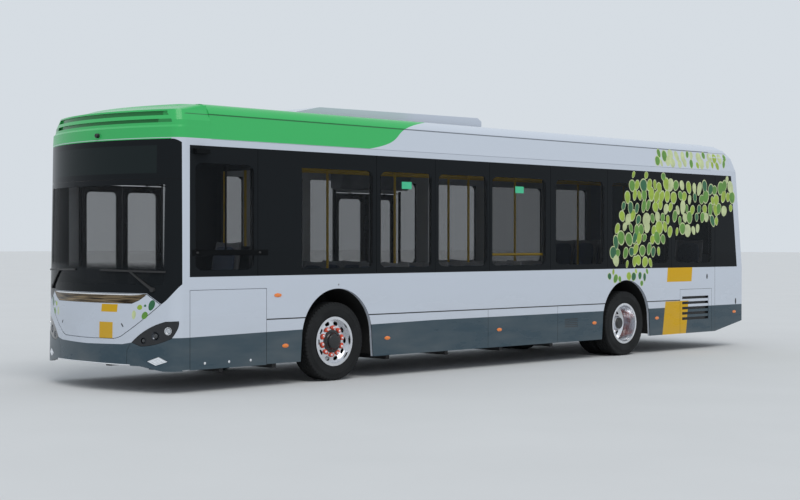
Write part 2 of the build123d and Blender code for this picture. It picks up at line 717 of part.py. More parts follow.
def fairing_section(side):
    """Cross-section of one roof fairing: a leaning side, the cove line, a rounded edge and a top."""
    cove_x = HALF_WIDTH - FAIRING_LEAN
    inner_x = FAIRING_INNER_X
    with BuildSketch(Plane.XZ.offset(-FRONT_CAP_BACK_Y)) as section:
        with BuildLine():
            Polyline(
                (side * (HALF_WIDTH - GROOVE), WALL_TOP_Z),
                (side * (HALF_WIDTH - 1), WALL_TOP_Z + GROOVE),
                (side * cove_x, COVE_Z),
                (side * (cove_x - COVE_LINE), COVE_Z + 1),
                (side * (cove_x - COVE_LINE), COVE_Z + COVE_LINE),
                (side * (cove_x - 2), COVE_Z + COVE_LINE + 1),
            )
            ThreePointArc(
                (side * (cove_x - 2), COVE_Z + COVE_LINE + 1),
                (side * 1155, COVE_Z + 95),
                (side * FAIRING_TOP_X, ROOF_EDGE_Z),
            )
            Polyline(
                (side * FAIRING_TOP_X, ROOF_EDGE_Z),
                (side * inner_x, FAIRING_TOP_Z),
                (side * inner_x, WALL_TOP_Z),
                (side * (inner_x + FAIRING_SKIN), WALL_TOP_Z),
                (side * (inner_x + FAIRING_SKIN), ROOF_EDGE_Z - FAIRING_SKIN),
                (side * (FAIRING_TOP_X - 10), ROOF_EDGE_Z - FAIRING_SKIN),
                (side * (cove_x - FAIRING_SKIN - 15), COVE_Z),
                (side * (HALF_WIDTH - FAIRING_SKIN), WALL_TOP_Z),
                (side * (HALF_WIDTH - GROOVE), WALL_TOP_Z),
            )
        make_face()
    return section.sketch


with BuildPart() as roof_fairings:
    for side in (1, -1):
        extrude(fairing_section(side), amount=-(REAR_CAP_FRONT_Y - FRONT_CAP_BACK_Y))
made(roof_fairings, "roof_fairings")

# Roof end caps: (height, half width, y of the end at the middle) of each section
FRONT_CAP = (
    (WALL_TOP_Z, 1275.0, -5950.0),
    (2985.0, 1258.0, -5946.0),
    (3010.0, 1254.0, -5918.0),
    (3070.0, 1246.0, -5908.0),
    (3190.0, 1191.0, -5855.0),
    (3250.0, 1171.0, -5560.0),
    (3275.0, 984.0, -5491.0),
)
REAR_CAP = (
    (WALL_TOP_Z, 1275.0, 5805.0),
    (3070.0, 1243.0, 5695.0),
    (3190.0, 1190.0, 5540.0),
    (3255.0, 1110.0, 5390.0),
    (3283.0, 900.0, 5200.0),
)


# Grooves across the front cap: (low z, height, y of the end at the middle, half width, half length)
CAP_GROOVES = (
    (3038.0, 40.0, -5910.0, 1248.0, 1000.0),
    (3120.0, 50.0, -5875.0, 1211.0, 1070.0),
)
CAP_GROOVE_DEPTH = 30.0


def cap_section(z, half, end_y, back_y, key_points, end_sign):
    """Closed plan section of a roof cap at one height."""
    lean = end_sign * (end_sign * (LENGTH / 2) - end_y)
    with BuildSketch(Plane.XY.offset(z)) as section:
        with BuildLine():
            draw_end(key_points(0, lean, half), back_y)
            Line((half, back_y), (-half, back_y))
        make_face()
    return section.sketch


with BuildPart() as roof_caps:
    for low, high in zip(FRONT_CAP, FRONT_CAP[1:]):
        loft(
            [
                cap_section(*low, FRONT_CAP_BACK_Y, nose_points, -1),
                cap_section(*high, FRONT_CAP_BACK_Y, nose_points, -1),
            ],
            ruled=True,
        )
    for low, high in zip(REAR_CAP, REAR_CAP[1:]):
        loft(
            [
                cap_section(*low, REAR_CAP_FRONT_Y, tail_points, 1),
                cap_section(*high, REAR_CAP_FRONT_Y, tail_points, 1),
            ],
            ruled=True,
        )
    for z, height, end_y, half, reach in CAP_GROOVES:
        lean = end_y - NOSE_Y
        back_y = FRONT_CAP_BACK_Y
        with BuildSketch(Plane.XY.offset(z)):
            with BuildLine():
                draw_end(nose_points(-40, lean, half), back_y)
                draw_end(nose_points(CAP_GROOVE_DEPTH, lean, half), back_y)
                for side in (1, -1):
                    Line((side * (half + 40), back_y), (side * (half - CAP_GROOVE_DEPTH), back_y))
            make_face()
            with Locations((0, NOSE_Y)):
                Rectangle(2 * reach, 2000, mode=Mode.INTERSECT)
        extrude(amount=height, mode=Mode.SUBTRACT)
made(roof_caps, "roof_caps")

# Batteries and the cooling unit in the well between the fairings
BATTERIES = ((-4700.0, 900.0), (900.0, 1500.0), (2600.0, 1500.0), (4200.0, 1300.0))
with BuildPart() as battery_packs:
    with BuildSketch(Plane.XY.offset(DECK_TOP_Z)):
        for y, length in BATTERIES:
            with Locations((0, y)):
                RectangleRounded(1640, length, 40)
    extrude(amount=BATTERY_HEIGHT)
    chamfer(battery_packs.faces().sort_by(Axis.Z)[-len(BATTERIES) :].edges(), 25)
made(battery_packs, "battery_packs")

with BuildPart() as cooling_unit:
    with BuildSketch(Plane.YZ.offset(-800)):
        Polygon(
            (-3560, DECK_TOP_Z),
            (-30, DECK_TOP_Z),
            (-30, 3380),
            (-110, 3424),
            (-3090, 3387),
            (-3560, 3290),
            align=None,
        )
    extrude(amount=1600)
    # Fan wells in the lid
    with BuildSketch(Plane.XY.offset(3450)):
        with Locations((0, -2500), (0, -1700), (0, -900)):
            Circle(270)
    extrude(amount=-110, mode=Mode.SUBTRACT)
    with BuildSketch(Plane.XY.offset(3340)):
        with Locations((0, -2500), (0, -1700), (0, -900)):
            Circle(60)
    extrude(amount=40)
made(cooling_unit, "cooling_unit")


# Wheel housings and floor
def housing_section(axle_y, grow):
    """Arch section across the wheel, in y and z."""
    with BuildSketch(Plane.YZ) as section:
        with Locations((axle_y, ARCH_CENTRE_Z)):
            Circle(ARCH_FOOT + grow)
        with Locations((axle_y, ARCH_CENTRE_Z / 2)):
            Rectangle(2 * (ARCH_FOOT + grow), ARCH_CENTRE_Z)
        with Locations((axle_y, (ARCH_CENTRE_Z - 1000 + HOUSING_FOOT_Z) / 2)):
            Rectangle(3000, HOUSING_FOOT_Z + 1000 - ARCH_CENTRE_Z, mode=Mode.SUBTRACT)
    return section.sketch


with BuildPart() as wheel_housings:
    for axle_y, inner_x in ((FRONT_AXLE_Y, FRONT_HOUSING_X), (REAR_AXLE_Y, REAR_HOUSING_X)):
        for side in (1, -1):
            depth = HALF_WIDTH - WALL - inner_x
            with BuildPart(mode=Mode.PRIVATE) as housing:
                extrude(housing_section(axle_y, HOUSING_SKIN), amount=depth)
                extrude(housing_section(axle_y, 0), amount=depth - HOUSING_SKIN, mode=Mode.SUBTRACT)
                # Slot in the inner wall for the axle and its links
                with BuildSketch(Plane.YZ):
                    with Locations((axle_y, HOUSING_FOOT_Z + 150)):
                        Rectangle(AXLE_SLOT, 340)
                extrude(amount=depth, mode=Mode.SUBTRACT)
            turned = housing.part.rotate(Axis.Z, 180).moved(Location((0, 2 * axle_y, 0)))
            placed = turned if side > 0 else housing.part
            add(placed.moved(Location((side * FLOOR_HALF_WIDTH, 0, 0))))
    # Towers on the inner walls, over the front air springs
    tower_end_x = FRONT_SPRING_X + FRONT_SPRING_RADIUS
    for side in (1, -1):
        with BuildSketch(Plane.XY.offset(SPRING_TOWER_Z)):
            with Locations((side * (FRONT_HOUSING_X + tower_end_x) / 2, FRONT_AXLE_Y)):
                Rectangle(tower_end_x - FRONT_HOUSING_X, 2 * FRONT_SPRING_RADIUS)
        extrude(amount=40)
made(wheel_housings, "wheel_housings")


def clear_housings():
    """Cut the four wheel bays out of the open part."""
    for axle_y, inner_x in ((FRONT_AXLE_Y, FRONT_HOUSING_X), (REAR_AXLE_Y, REAR_HOUSING_X)):
        for side in (1, -1):
            extrude(
                housing_section(axle_y, HOUSING_SKIN).moved(Location((side * inner_x, 0, 0))),
                amount=side * HALF_WIDTH,
                mode=Mode.SUBTRACT,
            )


# Low floor from the nose to the step, with the shelf that carries the dashboard
FLOOR_UNDER_Z = FLOOR_Z - FLOOR_THICKNESS
with BuildPart() as low_floor:
    with BuildSketch(Plane.XY.offset(FLOOR_UNDER_Z)):
        with Locations((0, (FLOOR_FRONT_Y + STEP_Y) / 2)):
            Rectangle(2 * FLOOR_HALF_WIDTH, STEP_Y - FLOOR_FRONT_Y)
        with Locations((0, FLOOR_FRONT_Y - 110)):
            Rectangle(1800, 220)
    extrude(amount=FLOOR_THICKNESS)
    clear_housings()
made(low_floor, "low_floor")

# Driver's platform
with BuildPart() as driver_platform:
    with BuildSketch(Plane.XY.offset(FLOOR_Z)):
        with Locations(((PLATFORM_X + FLOOR_HALF_WIDTH) / 2, PLATFORM_Y)):
            Rectangle(FLOOR_HALF_WIDTH - PLATFORM_X, PLATFORM_LENGTH)
    extrude(amount=PLATFORM_HEIGHT)
made(driver_platform, "driver_platform")

# Rear podium: the step, the raised deck, the bulkhead and the shelf over the power bay, one folded sheet
SHELF_Z = 1290.0
with BuildPart() as rear_podium:
    with BuildSketch(Plane.YZ.offset(-FLOOR_HALF_WIDTH)):
        Polygon(
            (STEP_Y, FLOOR_UNDER_Z),
            (STEP_Y, STEP_Z),
            (PODIUM_Y, STEP_Z),
            (PODIUM_Y, PODIUM_Z),
            (FLOOR_BACK_Y, PODIUM_Z),
            (FLOOR_BACK_Y, SHELF_Z),
            (FLOOR_BACK_Y + 360, SHELF_Z),
            (FLOOR_BACK_Y + 360, SHELF_Z - 30),
            (FLOOR_BACK_Y + 30, SHELF_Z - 30),
            (FLOOR_BACK_Y + 30, PODIUM_Z - FLOOR_THICKNESS),
            (PODIUM_Y + FLOOR_THICKNESS, PODIUM_Z - FLOOR_THICKNESS),
            (PODIUM_Y + FLOOR_THICKNESS, FLOOR_UNDER_Z),
            align=None,
        )
    extrude(amount=2 * FLOOR_HALF_WIDTH)
    clear_housings()
made(rear_podium, "rear_podium")

# Chassis: rails and cross members under both decks
MEMBER_HEIGHT = 80.0
with BuildPart() as chassis_frame:
    with BuildSketch(Plane.XY.offset(RAIL_Z)):
        with Locations((RAIL_X, RAIL_CENTRE_Y), (-RAIL_X, RAIL_CENTRE_Y)):
            Rectangle(80, RAIL_LENGTH)
        for y in LOW_CROSS_MEMBERS:
            with Locations((0, y)):
                Rectangle(2 * (FLOOR_HALF_WIDTH - 10), 60)
    extrude(amount=FLOOR_UNDER_Z - RAIL_Z)
    with BuildSketch(Plane.XY.offset(PODIUM_Z - FLOOR_THICKNESS - MEMBER_HEIGHT)):
        high_rail_front = REAR_AXLE_Y + 280
        for x in (230, -230):
            with Locations((x, (high_rail_front + FLOOR_BACK_Y) / 2)):
                Rectangle(80, FLOOR_BACK_Y - high_rail_front)
        for y in HIGH_CROSS_MEMBERS:
            with Locations((0, y)):
                Rectangle(2 * (FLOOR_HALF_WIDTH - 10), 60)
    extrude(amount=MEMBER_HEIGHT)
    clear_housings()
    # Clear way over the front beam
    with BuildSketch(Plane.XY.offset(RAIL_Z - 5)):
        with Locations((0, FRONT_AXLE_Y)):
            Rectangle(2 * FRONT_HOUSING_X, 240)
    extrude(amount=FLOOR_UNDER_Z - RAIL_Z + 5, mode=Mode.SUBTRACT)
made(chassis_frame, "chassis_frame")

# Axles. The front beam drops between its ends; the rear portal axle carries the drive motor
with BuildPart() as front_axle:
    with BuildSketch(Plane.XZ.offset(-FRONT_AXLE_Y)) as beam_side:
        with BuildLine():
            Polyline(
                (0, 195),
                (600, 195),
                (740, 425),
                (KINGPIN_X - 30, 432),
                (KINGPIN_X - 30, 532),
                (700, 520),
                (600, 285),
                (0, 285),
            )
            mirror(about=Plane.YZ)
        make_face()
    extrude(amount=45, both=True)
    for side in (1, -1):
        with BuildSketch(Plane.XY.offset(432)):
            with Locations((side * KINGPIN_X, FRONT_AXLE_Y)):
                Circle(46)
        extrude(amount=100)
        with Locations((side * KINGPIN_X, FRONT_AXLE_Y, WHEEL_Z)):
            Cylinder(KINGPIN_RADIUS + 0.5, 200, mode=Mode.SUBTRACT)
        # Air spring from the beam's shoulder up to the tower on the wheel housing
        with BuildSketch(Plane.XY.offset(WHEEL_Z)):
            with Locations((side * FRONT_SPRING_X, FRONT_AXLE_Y)):
                Circle(FRONT_SPRING_RADIUS)
        extrude(amount=SPRING_TOWER_Z - WHEEL_Z)
made(front_axle, "front_axle")

with BuildPart() as rear_axle:
    with BuildSketch(Plane.YZ.offset(-REAR_BEAM_X)):
        with Locations((REAR_AXLE_Y, WHEEL_Z)):
            Circle(90)
    extrude(amount=2 * REAR_BEAM_X)
    with BuildSketch(Plane.YZ.offset(-330)):
        with Locations((REAR_AXLE_Y, WHEEL_Z - 47)):
            Circle(150)
    extrude(amount=660)
    for side in (1, -1):
        with BuildSketch(Plane.YZ.offset(side * REAR_BEAM_X)):
            with Locations((REAR_AXLE_Y, WHEEL_Z)):
                Circle(60)
        extrude(amount=side * (TWIN_OUTER_X + 20 - REAR_BEAM_X))
        # Trailing arm with an air spring before and behind the beam
        with BuildSketch(Plane.YZ.offset(side * 500 - 40)):
            Polygon(
                (REAR_AXLE_Y - 460, 300),
                (REAR_AXLE_Y + 460, 300),
                (REAR_AXLE_Y + 460, 350),
                (REAR_AXLE_Y + 110, 420),
                (REAR_AXLE_Y - 110, 420),
                (REAR_AXLE_Y - 460, 350),
                align=None,
            )
        extrude(amount=80)
        # Air springs: one convolution each, from the arm up to the podium
        for y in (REAR_AXLE_Y - 400, REAR_AXLE_Y + 400):
            with BuildSketch(Plane.XY.offset(350)):
                with Locations((side * 500, y)):
                    Circle(112)
            extrude(amount=PODIUM_Z - FLOOR_THICKNESS - 350)
made(rear_axle, "rear_axle")


def ring(axle_y, points):
    """Turned ring about a wheel's axis from (x, radius) points."""
    with BuildPart() as turned:
        with BuildSketch(Plane.XZ.offset(-axle_y)):
            with BuildLine():
                Polyline(*[(x, WHEEL_Z + radius) for x, radius in points], close=True)
            make_face()
        revolve(axis=Axis((0, axle_y, WHEEL_Z), (1, 0, 0)))
    return turned.part


def tyre_points(centre_x):
    """Tyre section: bead seat, sidewall with its widest point, shoulder and flat tread."""
    half = (
        (BEAD_HALF_WIDTH - 4, BEAD_RADIUS),
        (TYRE_HALF_WIDTH, 392),
        (TYRE_HALF_WIDTH - 22, TYRE_RADIUS),
    )
    return [(centre_x + w, r) for w, r in half] + [(centre_x - w, r) for w, r in reversed(half)]


def barrel_points(centre_x, side, disc_foot, hub_face, hub_radius):
    """Rim section, outer face towards side: flanges, well and a disc that runs to the hub face."""
    well = BEAD_RADIUS - 16
    rim_end = BEAD_HALF_WIDTH + 10
    shape = (
        (rim_end, FLANGE_RADIUS),
        (BEAD_HALF_WIDTH, BEAD_RADIUS),
        (-BEAD_HALF_WIDTH, BEAD_RADIUS),
        (-rim_end, FLANGE_RADIUS),
        (-rim_end, well),
        (disc_foot, well),
        (hub_face, hub_radius + 70),
        (hub_face, hub_radius),
        (hub_face + DISC, hub_radius),
        (hub_face + DISC, hub_radius + 70),
        (disc_foot + DISC, well),
        (rim_end, well),
    )
    return [(centre_x + side * x, r) for x, r in shape]


def pierce(part, axle_y, low_x, high_x, count):
    """Cut a circle of oval vents along the wheel's axis between two x planes."""
    with BuildPart() as pierced:
        add(part)
        with BuildSketch(Plane.YZ.offset(min(low_x, high_x))):
            with Locations((axle_y, WHEEL_Z)):
                with PolarLocations(VENT_PITCH_RADIUS, count):
                    SlotOverall(VENT_LENGTH, VENT_WIDTH, rotation=90)
        extrude(amount=abs(high_x - low_x), mode=Mode.SUBTRACT)
    return pierced.part


# Discs: (foot in the well, hub face, hub hole radius), offsets measured from the middle of the rim
FRONT_DISC = (48.0, 70.0, 40.0)
TWIN_DISC = (-100.0, -TWIN_FACE, 110.0)
VENT_PITCH_RADIUS = 222.0
VENT_LENGTH = 74.0
VENT_WIDTH = 50.0
FRONT_VENTS = 10
TWIN_VENTS = 8
# Hubs as (distance outwards, radius): the front one stands proud, the rear one is a deep cup
FRONT_HUB = (
    (-20, 0),
    (-20, 130),
    (-6, 130),
    (-6, 40),
    (8, 40),
    (8, 88),
    (42, 80),
    (52, 60),
    (52, 0),
)
TWIN_HUB = (
    (-130, 92),
    (-130, 110),
    (150, 110),
    (180, 92),
    (180, 0),
    (176, 0),
    (176, 66),
    (-100, 66),
    (-100, 92),
)

for side, name in ((1, "left"), (-1, "right")):
    # Knuckle: ears above and below the axle eye, a web outside it and the hub flange
    with BuildPart() as knuckle:
        with BuildSketch(Plane.XZ.offset(-FRONT_AXLE_Y)):
            Polygon(
                (side * (KINGPIN_X - 50), 372),
                (side * (KINGPIN_X + 90), 372),
                (side * (KINGPIN_X + 90), 592),
                (side * (KINGPIN_X - 50), 592),
                (side * (KINGPIN_X - 50), 538),
                (side * (KINGPIN_X + 60), 538),
                (side * (KINGPIN_X + 60), 426),
                (side * (KINGPIN_X - 50), 426),
                align=None,
            )
        extrude(amount=50, both=True)
        with Locations((side * KINGPIN_X, FRONT_AXLE_Y, WHEEL_Z)):
            Cylinder(KINGPIN_RADIUS, 200)
        with BuildSketch(Plane.YZ.offset(side * (KINGPIN_X + 90))):
            with Locations((FRONT_AXLE_Y, WHEEL_Z)):
                Circle(70)
        extrude(amount=side * 30)
    made(knuckle, f"knuckle_{name}")

    with BuildPart() as front_tyre:
        add(ring(FRONT_AXLE_Y, tyre_points(side * FRONT_WHEEL_X)))
    made(front_tyre, f"front_tyre_{name}")

    with BuildPart() as front_rim:
        disc_x = side * (FRONT_WHEEL_X + 78)
        blank = ring(FRONT_AXLE_Y, barrel_points(side * FRONT_WHEEL_X, side, *FRONT_DISC))
        add(pierce(blank, FRONT_AXLE_Y, disc_x - 40, disc_x + 40, FRONT_VENTS))
        # Hub: (distance outwards from the disc, radius)
        add(ring(FRONT_AXLE_Y, [(disc_x + side * u, r) for u, r in FRONT_HUB]))
    made(front_rim, f"front_rim_{name}")

    with BuildPart() as rear_tyres:
        for centre_x in (TWIN_OUTER_X, TWIN_INNER_X):
            add(ring(REAR_AXLE_Y, tyre_points(side * centre_x)))
    made(rear_tyres, f"rear_tyres_{name}")

    with BuildPart() as rear_rims:
        hub_x = side * (TWIN_OUTER_X + TWIN_INNER_X) / 2
        for centre_x, outwards in ((TWIN_OUTER_X, side), (TWIN_INNER_X, -side)):
            blank = ring(REAR_AXLE_Y, barrel_points(side * centre_x, outwards, *TWIN_DISC))
            add(pierce(blank, REAR_AXLE_Y, hub_x - 40, hub_x + 40, TWIN_VENTS))
        add(ring(REAR_AXLE_Y, [(hub_x + side * u, r) for u, r in TWIN_HUB]))
    made(rear_rims, f"rear_rims_{name}")


# Doors. Plan positions use u along the wall from the jamb and v inwards from the skin
def door_place(jamb_y, direction, u, v):
    """Plan point of a door of the right-hand side from its u and v."""
    return (-HALF_WIDTH + v, jamb_y + direction * u)


for portal, centre_y in PORTAL_CENTRES.items():
    for direction, hand in ((1, "fore"), (-1, "aft")):
        jamb_y = centre_y - direction * PORTAL_WIDTH / 2
        leaf_y = jamb_y + direction * (LEAF_START + LEAF_WIDTH / 2)
        leaf_x = -HALF_WIDTH + LEAF_DEPTH
        column = door_place(jamb_y, direction, COLUMN_U, COLUMN_V)
        pivot = door_place(jamb_y, direction, PIVOT_U, PIVOT_V)
        arm_length = sqrt((pivot[0] - column[0]) ** 2 + (pivot[1] - column[1]) ** 2)
        arm_angle = atan2(pivot[1] - column[1], pivot[0] - column[0])
        leaf_mid_z = (LEAF_BOTTOM_Z + LEAF_TOP_Z) / 2
        leaf_height = LEAF_TOP_Z - LEAF_BOTTOM_Z

        with BuildPart() as leaf:
            with BuildSketch(Plane.YZ.offset(leaf_x)):
                with Locations((leaf_y, leaf_mid_z)):
                    RectangleRounded(LEAF_WIDTH, leaf_height, 12)
            extrude(amount=LEAF_THICKNESS)
            with BuildSketch(Plane.YZ.offset(leaf_x)):
                with Locations((leaf_y, leaf_mid_z)):
                    RectangleRounded(LEAF_WIDTH - 50, leaf_height - 50, 40)
            extrude(amount=GLASS, mode=Mode.SUBTRACT)
            with BuildSketch(Plane.YZ.offset(leaf_x)):
                with Locations((leaf_y, leaf_mid_z)):
                    RectangleRounded(LEAF_WIDTH - 150, leaf_height - 170, 60)
            extrude(amount=LEAF_THICKNESS, mode=Mode.SUBTRACT)
            # Brackets with the pins that the arms hold, at the bottom and the top edge
            for low_z, pin_z in ((LEAF_BOTTOM_Z, ARM_LOW_Z), (LEAF_TOP_Z - 12, LEAF_TOP_Z)):
                with BuildSketch(Plane.XY.offset(low_z)):
                    with Locations(((leaf_x + LEAF_THICKNESS + pivot[0] + 20) / 2, pivot[1])):
                        Rectangle(pivot[0] + 20 - leaf_x - LEAF_THICKNESS, 60)
                extrude(amount=12)
                with BuildSketch(Plane.XY.offset(pin_z)):
                    with Locations(pivot):
                        Circle(PIN_RADIUS)
                extrude(amount=ARM_THICKNESS + 6)
        made(leaf, f"door_leaf_{portal}_{hand}")

        with BuildPart() as pane:
            with BuildSketch(Plane.YZ.offset(leaf_x)):
                with Locations((leaf_y, leaf_mid_z)):
                    RectangleRounded(LEAF_WIDTH - 52, leaf_height - 52, 39)
            extrude(amount=GLASS)
        made(pane, f"door_glass_{portal}_{hand}")

        with BuildPart() as swing:
            with BuildSketch(Plane.XY.offset(FLOOR_Z + 1)):
                with Locations(column):
                    Circle(COLUMN_RADIUS)
            extrude(amount=COLUMN_TOP_Z - FLOOR_Z - 1)
            for arm_z in (ARM_LOW_Z, LEAF_TOP_Z + 6):
                with BuildSketch(Plane.XY.offset(arm_z)):
                    with Locations(((column[0] + pivot[0]) / 2, (column[1] + pivot[1]) / 2)):
                        SlotCenterToCenter(arm_length, 44, rotation=degrees(arm_angle))
                    with Locations(pivot):
                        Circle(PIN_RADIUS + 0.5, mode=Mode.SUBTRACT)
                extrude(amount=ARM_THICKNESS)
        made(swing, f"door_arm_{portal}_{hand}")

# Covers of the door drives over the portals, on the inside
with BuildPart() as door_drives:
    with BuildSketch(Plane.XZ.offset(-PORTAL_CENTRES["front"])):
        Polygon(
            (-HALF_WIDTH + WALL, 2470),
            (-HALF_WIDTH + 230, 2470),
            (-HALF_WIDTH + 260, 2520),
            (-HALF_WIDTH + 330, CEILING_Z),
            (-HALF_WIDTH + WALL, CEILING_Z),
            align=None,
        )
    extrude(amount=PORTAL_WIDTH / 2 + 70, both=True)
    shift = PORTAL_CENTRES["middle"] - PORTAL_CENTRES["front"]
    add(door_drives.part.moved(Location((0, shift, 0))))
made(door_drives, "door_drives")

# Passenger seats: (y of the seat back's foot, floor height, x of each seat) per row; all face forward
SEAT_WIDTH = 440.0
PAIR = (1000.0, 545.0)
SEAT_ROWS = (
    (-2060.0, FLOOR_Z, PAIR + (-1000.0, -545.0)),
    (-1310.0, FLOOR_Z, PAIR + (-1000.0, -545.0)),
    (-560.0, FLOOR_Z, PAIR),
    (190.0, FLOOR_Z, PAIR),
    (940.0, FLOOR_Z, PAIR + (-1000.0, -545.0)),
    (3980.0, PODIUM_Z, PAIR + (-1000.0, -545.0)),
    (4720.0, PODIUM_Z, PAIR + (-1000.0, -545.0)),
)


def seat_side(y, z):
    """Side view of one seat shell: a padded cushion that bends up into the back."""
    with BuildLine() as profile:
        Polyline(
            (y - 430, z + 470),
            (y - 400, z + 400),
            (y + 20, z + 385),
            (y + 60, z + 430),
            (y + 150, z + 1060),
            (y + 110, z + 1080),
            (y - 30, z + 470),
            (y - 60, z + 450),
            close=True,
        )
    return profile.line


with BuildPart() as seats:
    for y, z, columns in SEAT_ROWS:
        for x in columns:
            with BuildSketch(Plane.YZ.offset(x - SEAT_WIDTH / 2)):
                with BuildLine():
                    add(seat_side(y, z))
                make_face()
            extrude(amount=SEAT_WIDTH)
    # Driver's seat on the platform
    with BuildSketch(Plane.YZ.offset(DRIVER_X - 240)):
        with BuildLine():
            add(seat_side(DRIVER_Y, FLOOR_Z + PLATFORM_HEIGHT))
        make_face()
    extrude(amount=480)
made(seats, "seats")

with BuildPart() as seat_stands:
    for y, z, columns in SEAT_ROWS:
        for side in sorted({x > 0 for x in columns}):
            sign = 1 if side else -1
            # Cross rail from the wall to the aisle end under both seats, and its leg
            with BuildSketch(Plane.XY.offset(z + 345)):
                with Locations((sign * (HALF_WIDTH - WALL + 400) / 2, y - 180)):
                    Rectangle(HALF_WIDTH - WALL - 400, 60)
            extrude(amount=40)
            with BuildSketch(Plane.XY.offset(z)):
                with Locations((sign * 545, y - 180)):
                    Rectangle(60, 60)
            extrude(amount=345)
    with BuildSketch(Plane.XY.offset(FLOOR_Z + PLATFORM_HEIGHT)):
        with Locations((DRIVER_X, DRIVER_Y - 180)):
            Rectangle(300, 260)
    extrude(amount=385)
made(seat_stands, "seat_stands")

# Grab poles from floor to ceiling (x, y, floor height)
POLE_RADIUS = 17.0
POLES = (
    (330.0, -3900.0, FLOOR_Z),
    (-330.0, -3700.0, FLOOR_Z),
    (290.0, -2480.0, FLOOR_Z),
    (-290.0, -2480.0, FLOOR_Z),
    (290.0, -1230.0, FLOOR_Z),
    (-290.0, -1090.0, FLOOR_Z),
    (290.0, 270.0, FLOOR_Z),
    (-290.0, 480.0, FLOOR_Z),
    (290.0, 1300.0, FLOOR_Z),
    (-290.0, 1300.0, FLOOR_Z),
    (290.0, 3560.0, PODIUM_Z),
    (-290.0, 3560.0, PODIUM_Z),
    (290.0, 4800.0, PODIUM_Z),
    (-290.0, 4800.0, PODIUM_Z),
)
with BuildPart() as grab_poles:
    for x, y, z in POLES:
        with BuildSketch(Plane.XY.offset(z)):
            with Locations((x, y)):
                Circle(POLE_RADIUS)
        extrude(amount=CEILING_Z - z)
made(grab_poles, "grab_poles")

# Two rails under the ceiling beside the poles, each on a row of hangers
RAIL_DROP = 150.0
CEILING_RAIL_X = 245.0
CEILING_RAIL_FRONT_Y = -3900.0
CEILING_RAIL_LENGTH = 8900.0
HANGERS = 4
with BuildPart() as ceiling_rails:
    for x in (CEILING_RAIL_X, -CEILING_RAIL_X):
        with BuildSketch(Plane.XZ.offset(-CEILING_RAIL_FRONT_Y)):
            with Locations((x, CEILING_Z - RAIL_DROP)):
                Circle(POLE_RADIUS)
        extrude(amount=-CEILING_RAIL_LENGTH)
    with BuildSketch(Plane.XY.offset(CEILING_Z - RAIL_DROP)):
        with Locations((0, CEILING_RAIL_FRONT_Y + CEILING_RAIL_LENGTH / 2)):
            with GridLocations(2 * CEILING_RAIL_X, (CEILING_RAIL_LENGTH - 100) / (HANGERS - 1), 2, HANGERS):
                Rectangle(24, 24)
    extrude(amount=RAIL_DROP)
made(ceiling_rails, "ceiling_rails")

# Dashboard with its binnacle and the steering wheel on its column
DASH_END_Y = PILLAR_BACK_Y + 200.0
with BuildPart() as dashboard:
    with BuildSketch(Plane.YZ.offset(-DASH_HALF_WIDTH)):
        Polygon(
            (-5690, FLOOR_Z),
            (-5690, 440),
            (-5800, 440),
            (-5800, 1080),
            (-5640, 1170),
            (-5420, 1130),
            (-5400, 1060),
            (-5530, 900),
            (-5530, FLOOR_Z),
            align=None,
        )
    extrude(amount=2 * DASH_HALF_WIDTH)
    with BuildSketch(Plane.YZ.offset(DRIVER_X - 330)):
        Polygon((-5700, 1130), (-5620, 1240), (-5480, 1230), (-5400, 1090), align=None)
    extrude(amount=660)
    # The ends follow the inside of the nose
    with BuildSketch(Plane.XY.offset(FLOOR_Z - 10)):
        with BuildLine():
            draw_end(nose_points(DASH_INSET, NOSE_LEAN), DASH_END_Y)
            Line((HALF_WIDTH - DASH_INSET, DASH_END_Y), (DASH_INSET - HALF_WIDTH, DASH_END_Y))
        make_face()
    extrude(amount=1200, mode=Mode.INTERSECT)
    column_plane = Plane(origin=(DRIVER_X, -5440, 1060), z_dir=(0, 0.55, 0.83))
    with BuildSketch(column_plane):
        Circle(30)
    extrude(amount=215)
    with BuildSketch(column_plane.offset(195)):
        Circle(225)
        Circle(200, mode=Mode.SUBTRACT)
        Rectangle(410, 40)
    extrude(amount=25)
made(dashboard, "dashboard")

# Partition behind and beside the driver: a low panel with glass-height posts
with BuildPart() as cab_partition:
    with BuildSketch(Plane.XY.offset(FLOOR_Z + PLATFORM_HEIGHT)):
        with Locations(((PLATFORM_X + HALF_WIDTH - WALL) / 2, CAB_BACK_Y)):
            Rectangle(HALF_WIDTH - WALL - PLATFORM_X, 30)
    extrude(amount=CEILING_Z - FLOOR_Z - PLATFORM_HEIGHT)
    with BuildSketch(Plane.YZ.offset(PLATFORM_X)):
        Polygon(
            (CAB_BACK_Y, FLOOR_Z + PLATFORM_HEIGHT),
            (-5380, FLOOR_Z + PLATFORM_HEIGHT),
            (-5380, 1300),
            (-4900, 1450),
            (-4700, CEILING_Z),
            (CAB_BACK_Y, CEILING_Z),
            align=None,
        )
    extrude(amount=30)
    with BuildSketch(Plane.XZ.offset(-CAB_BACK_Y)):
        with Locations((800, 2100)):
            Rectangle(700, 900)
    extrude(amount=30, both=True, mode=Mode.SUBTRACT)
made(cab_partition, "cab_partition")

# Mirror cameras on short arms at the front edge of the roof
with BuildPart() as mirror_cameras:
    for side in (1, -1):
        with BuildSketch(Plane.XZ.offset(5440)):
            Polygon(
                (side * HALF_WIDTH, 2690),
                (side * HALF_WIDTH, 2750),
                (side * (HALF_WIDTH + 60), 2740),
                (side * (HALF_WIDTH + 70), 2690),
                align=None,
            )
        extrude(amount=-190)
made(mirror_cameras, "mirror_cameras")

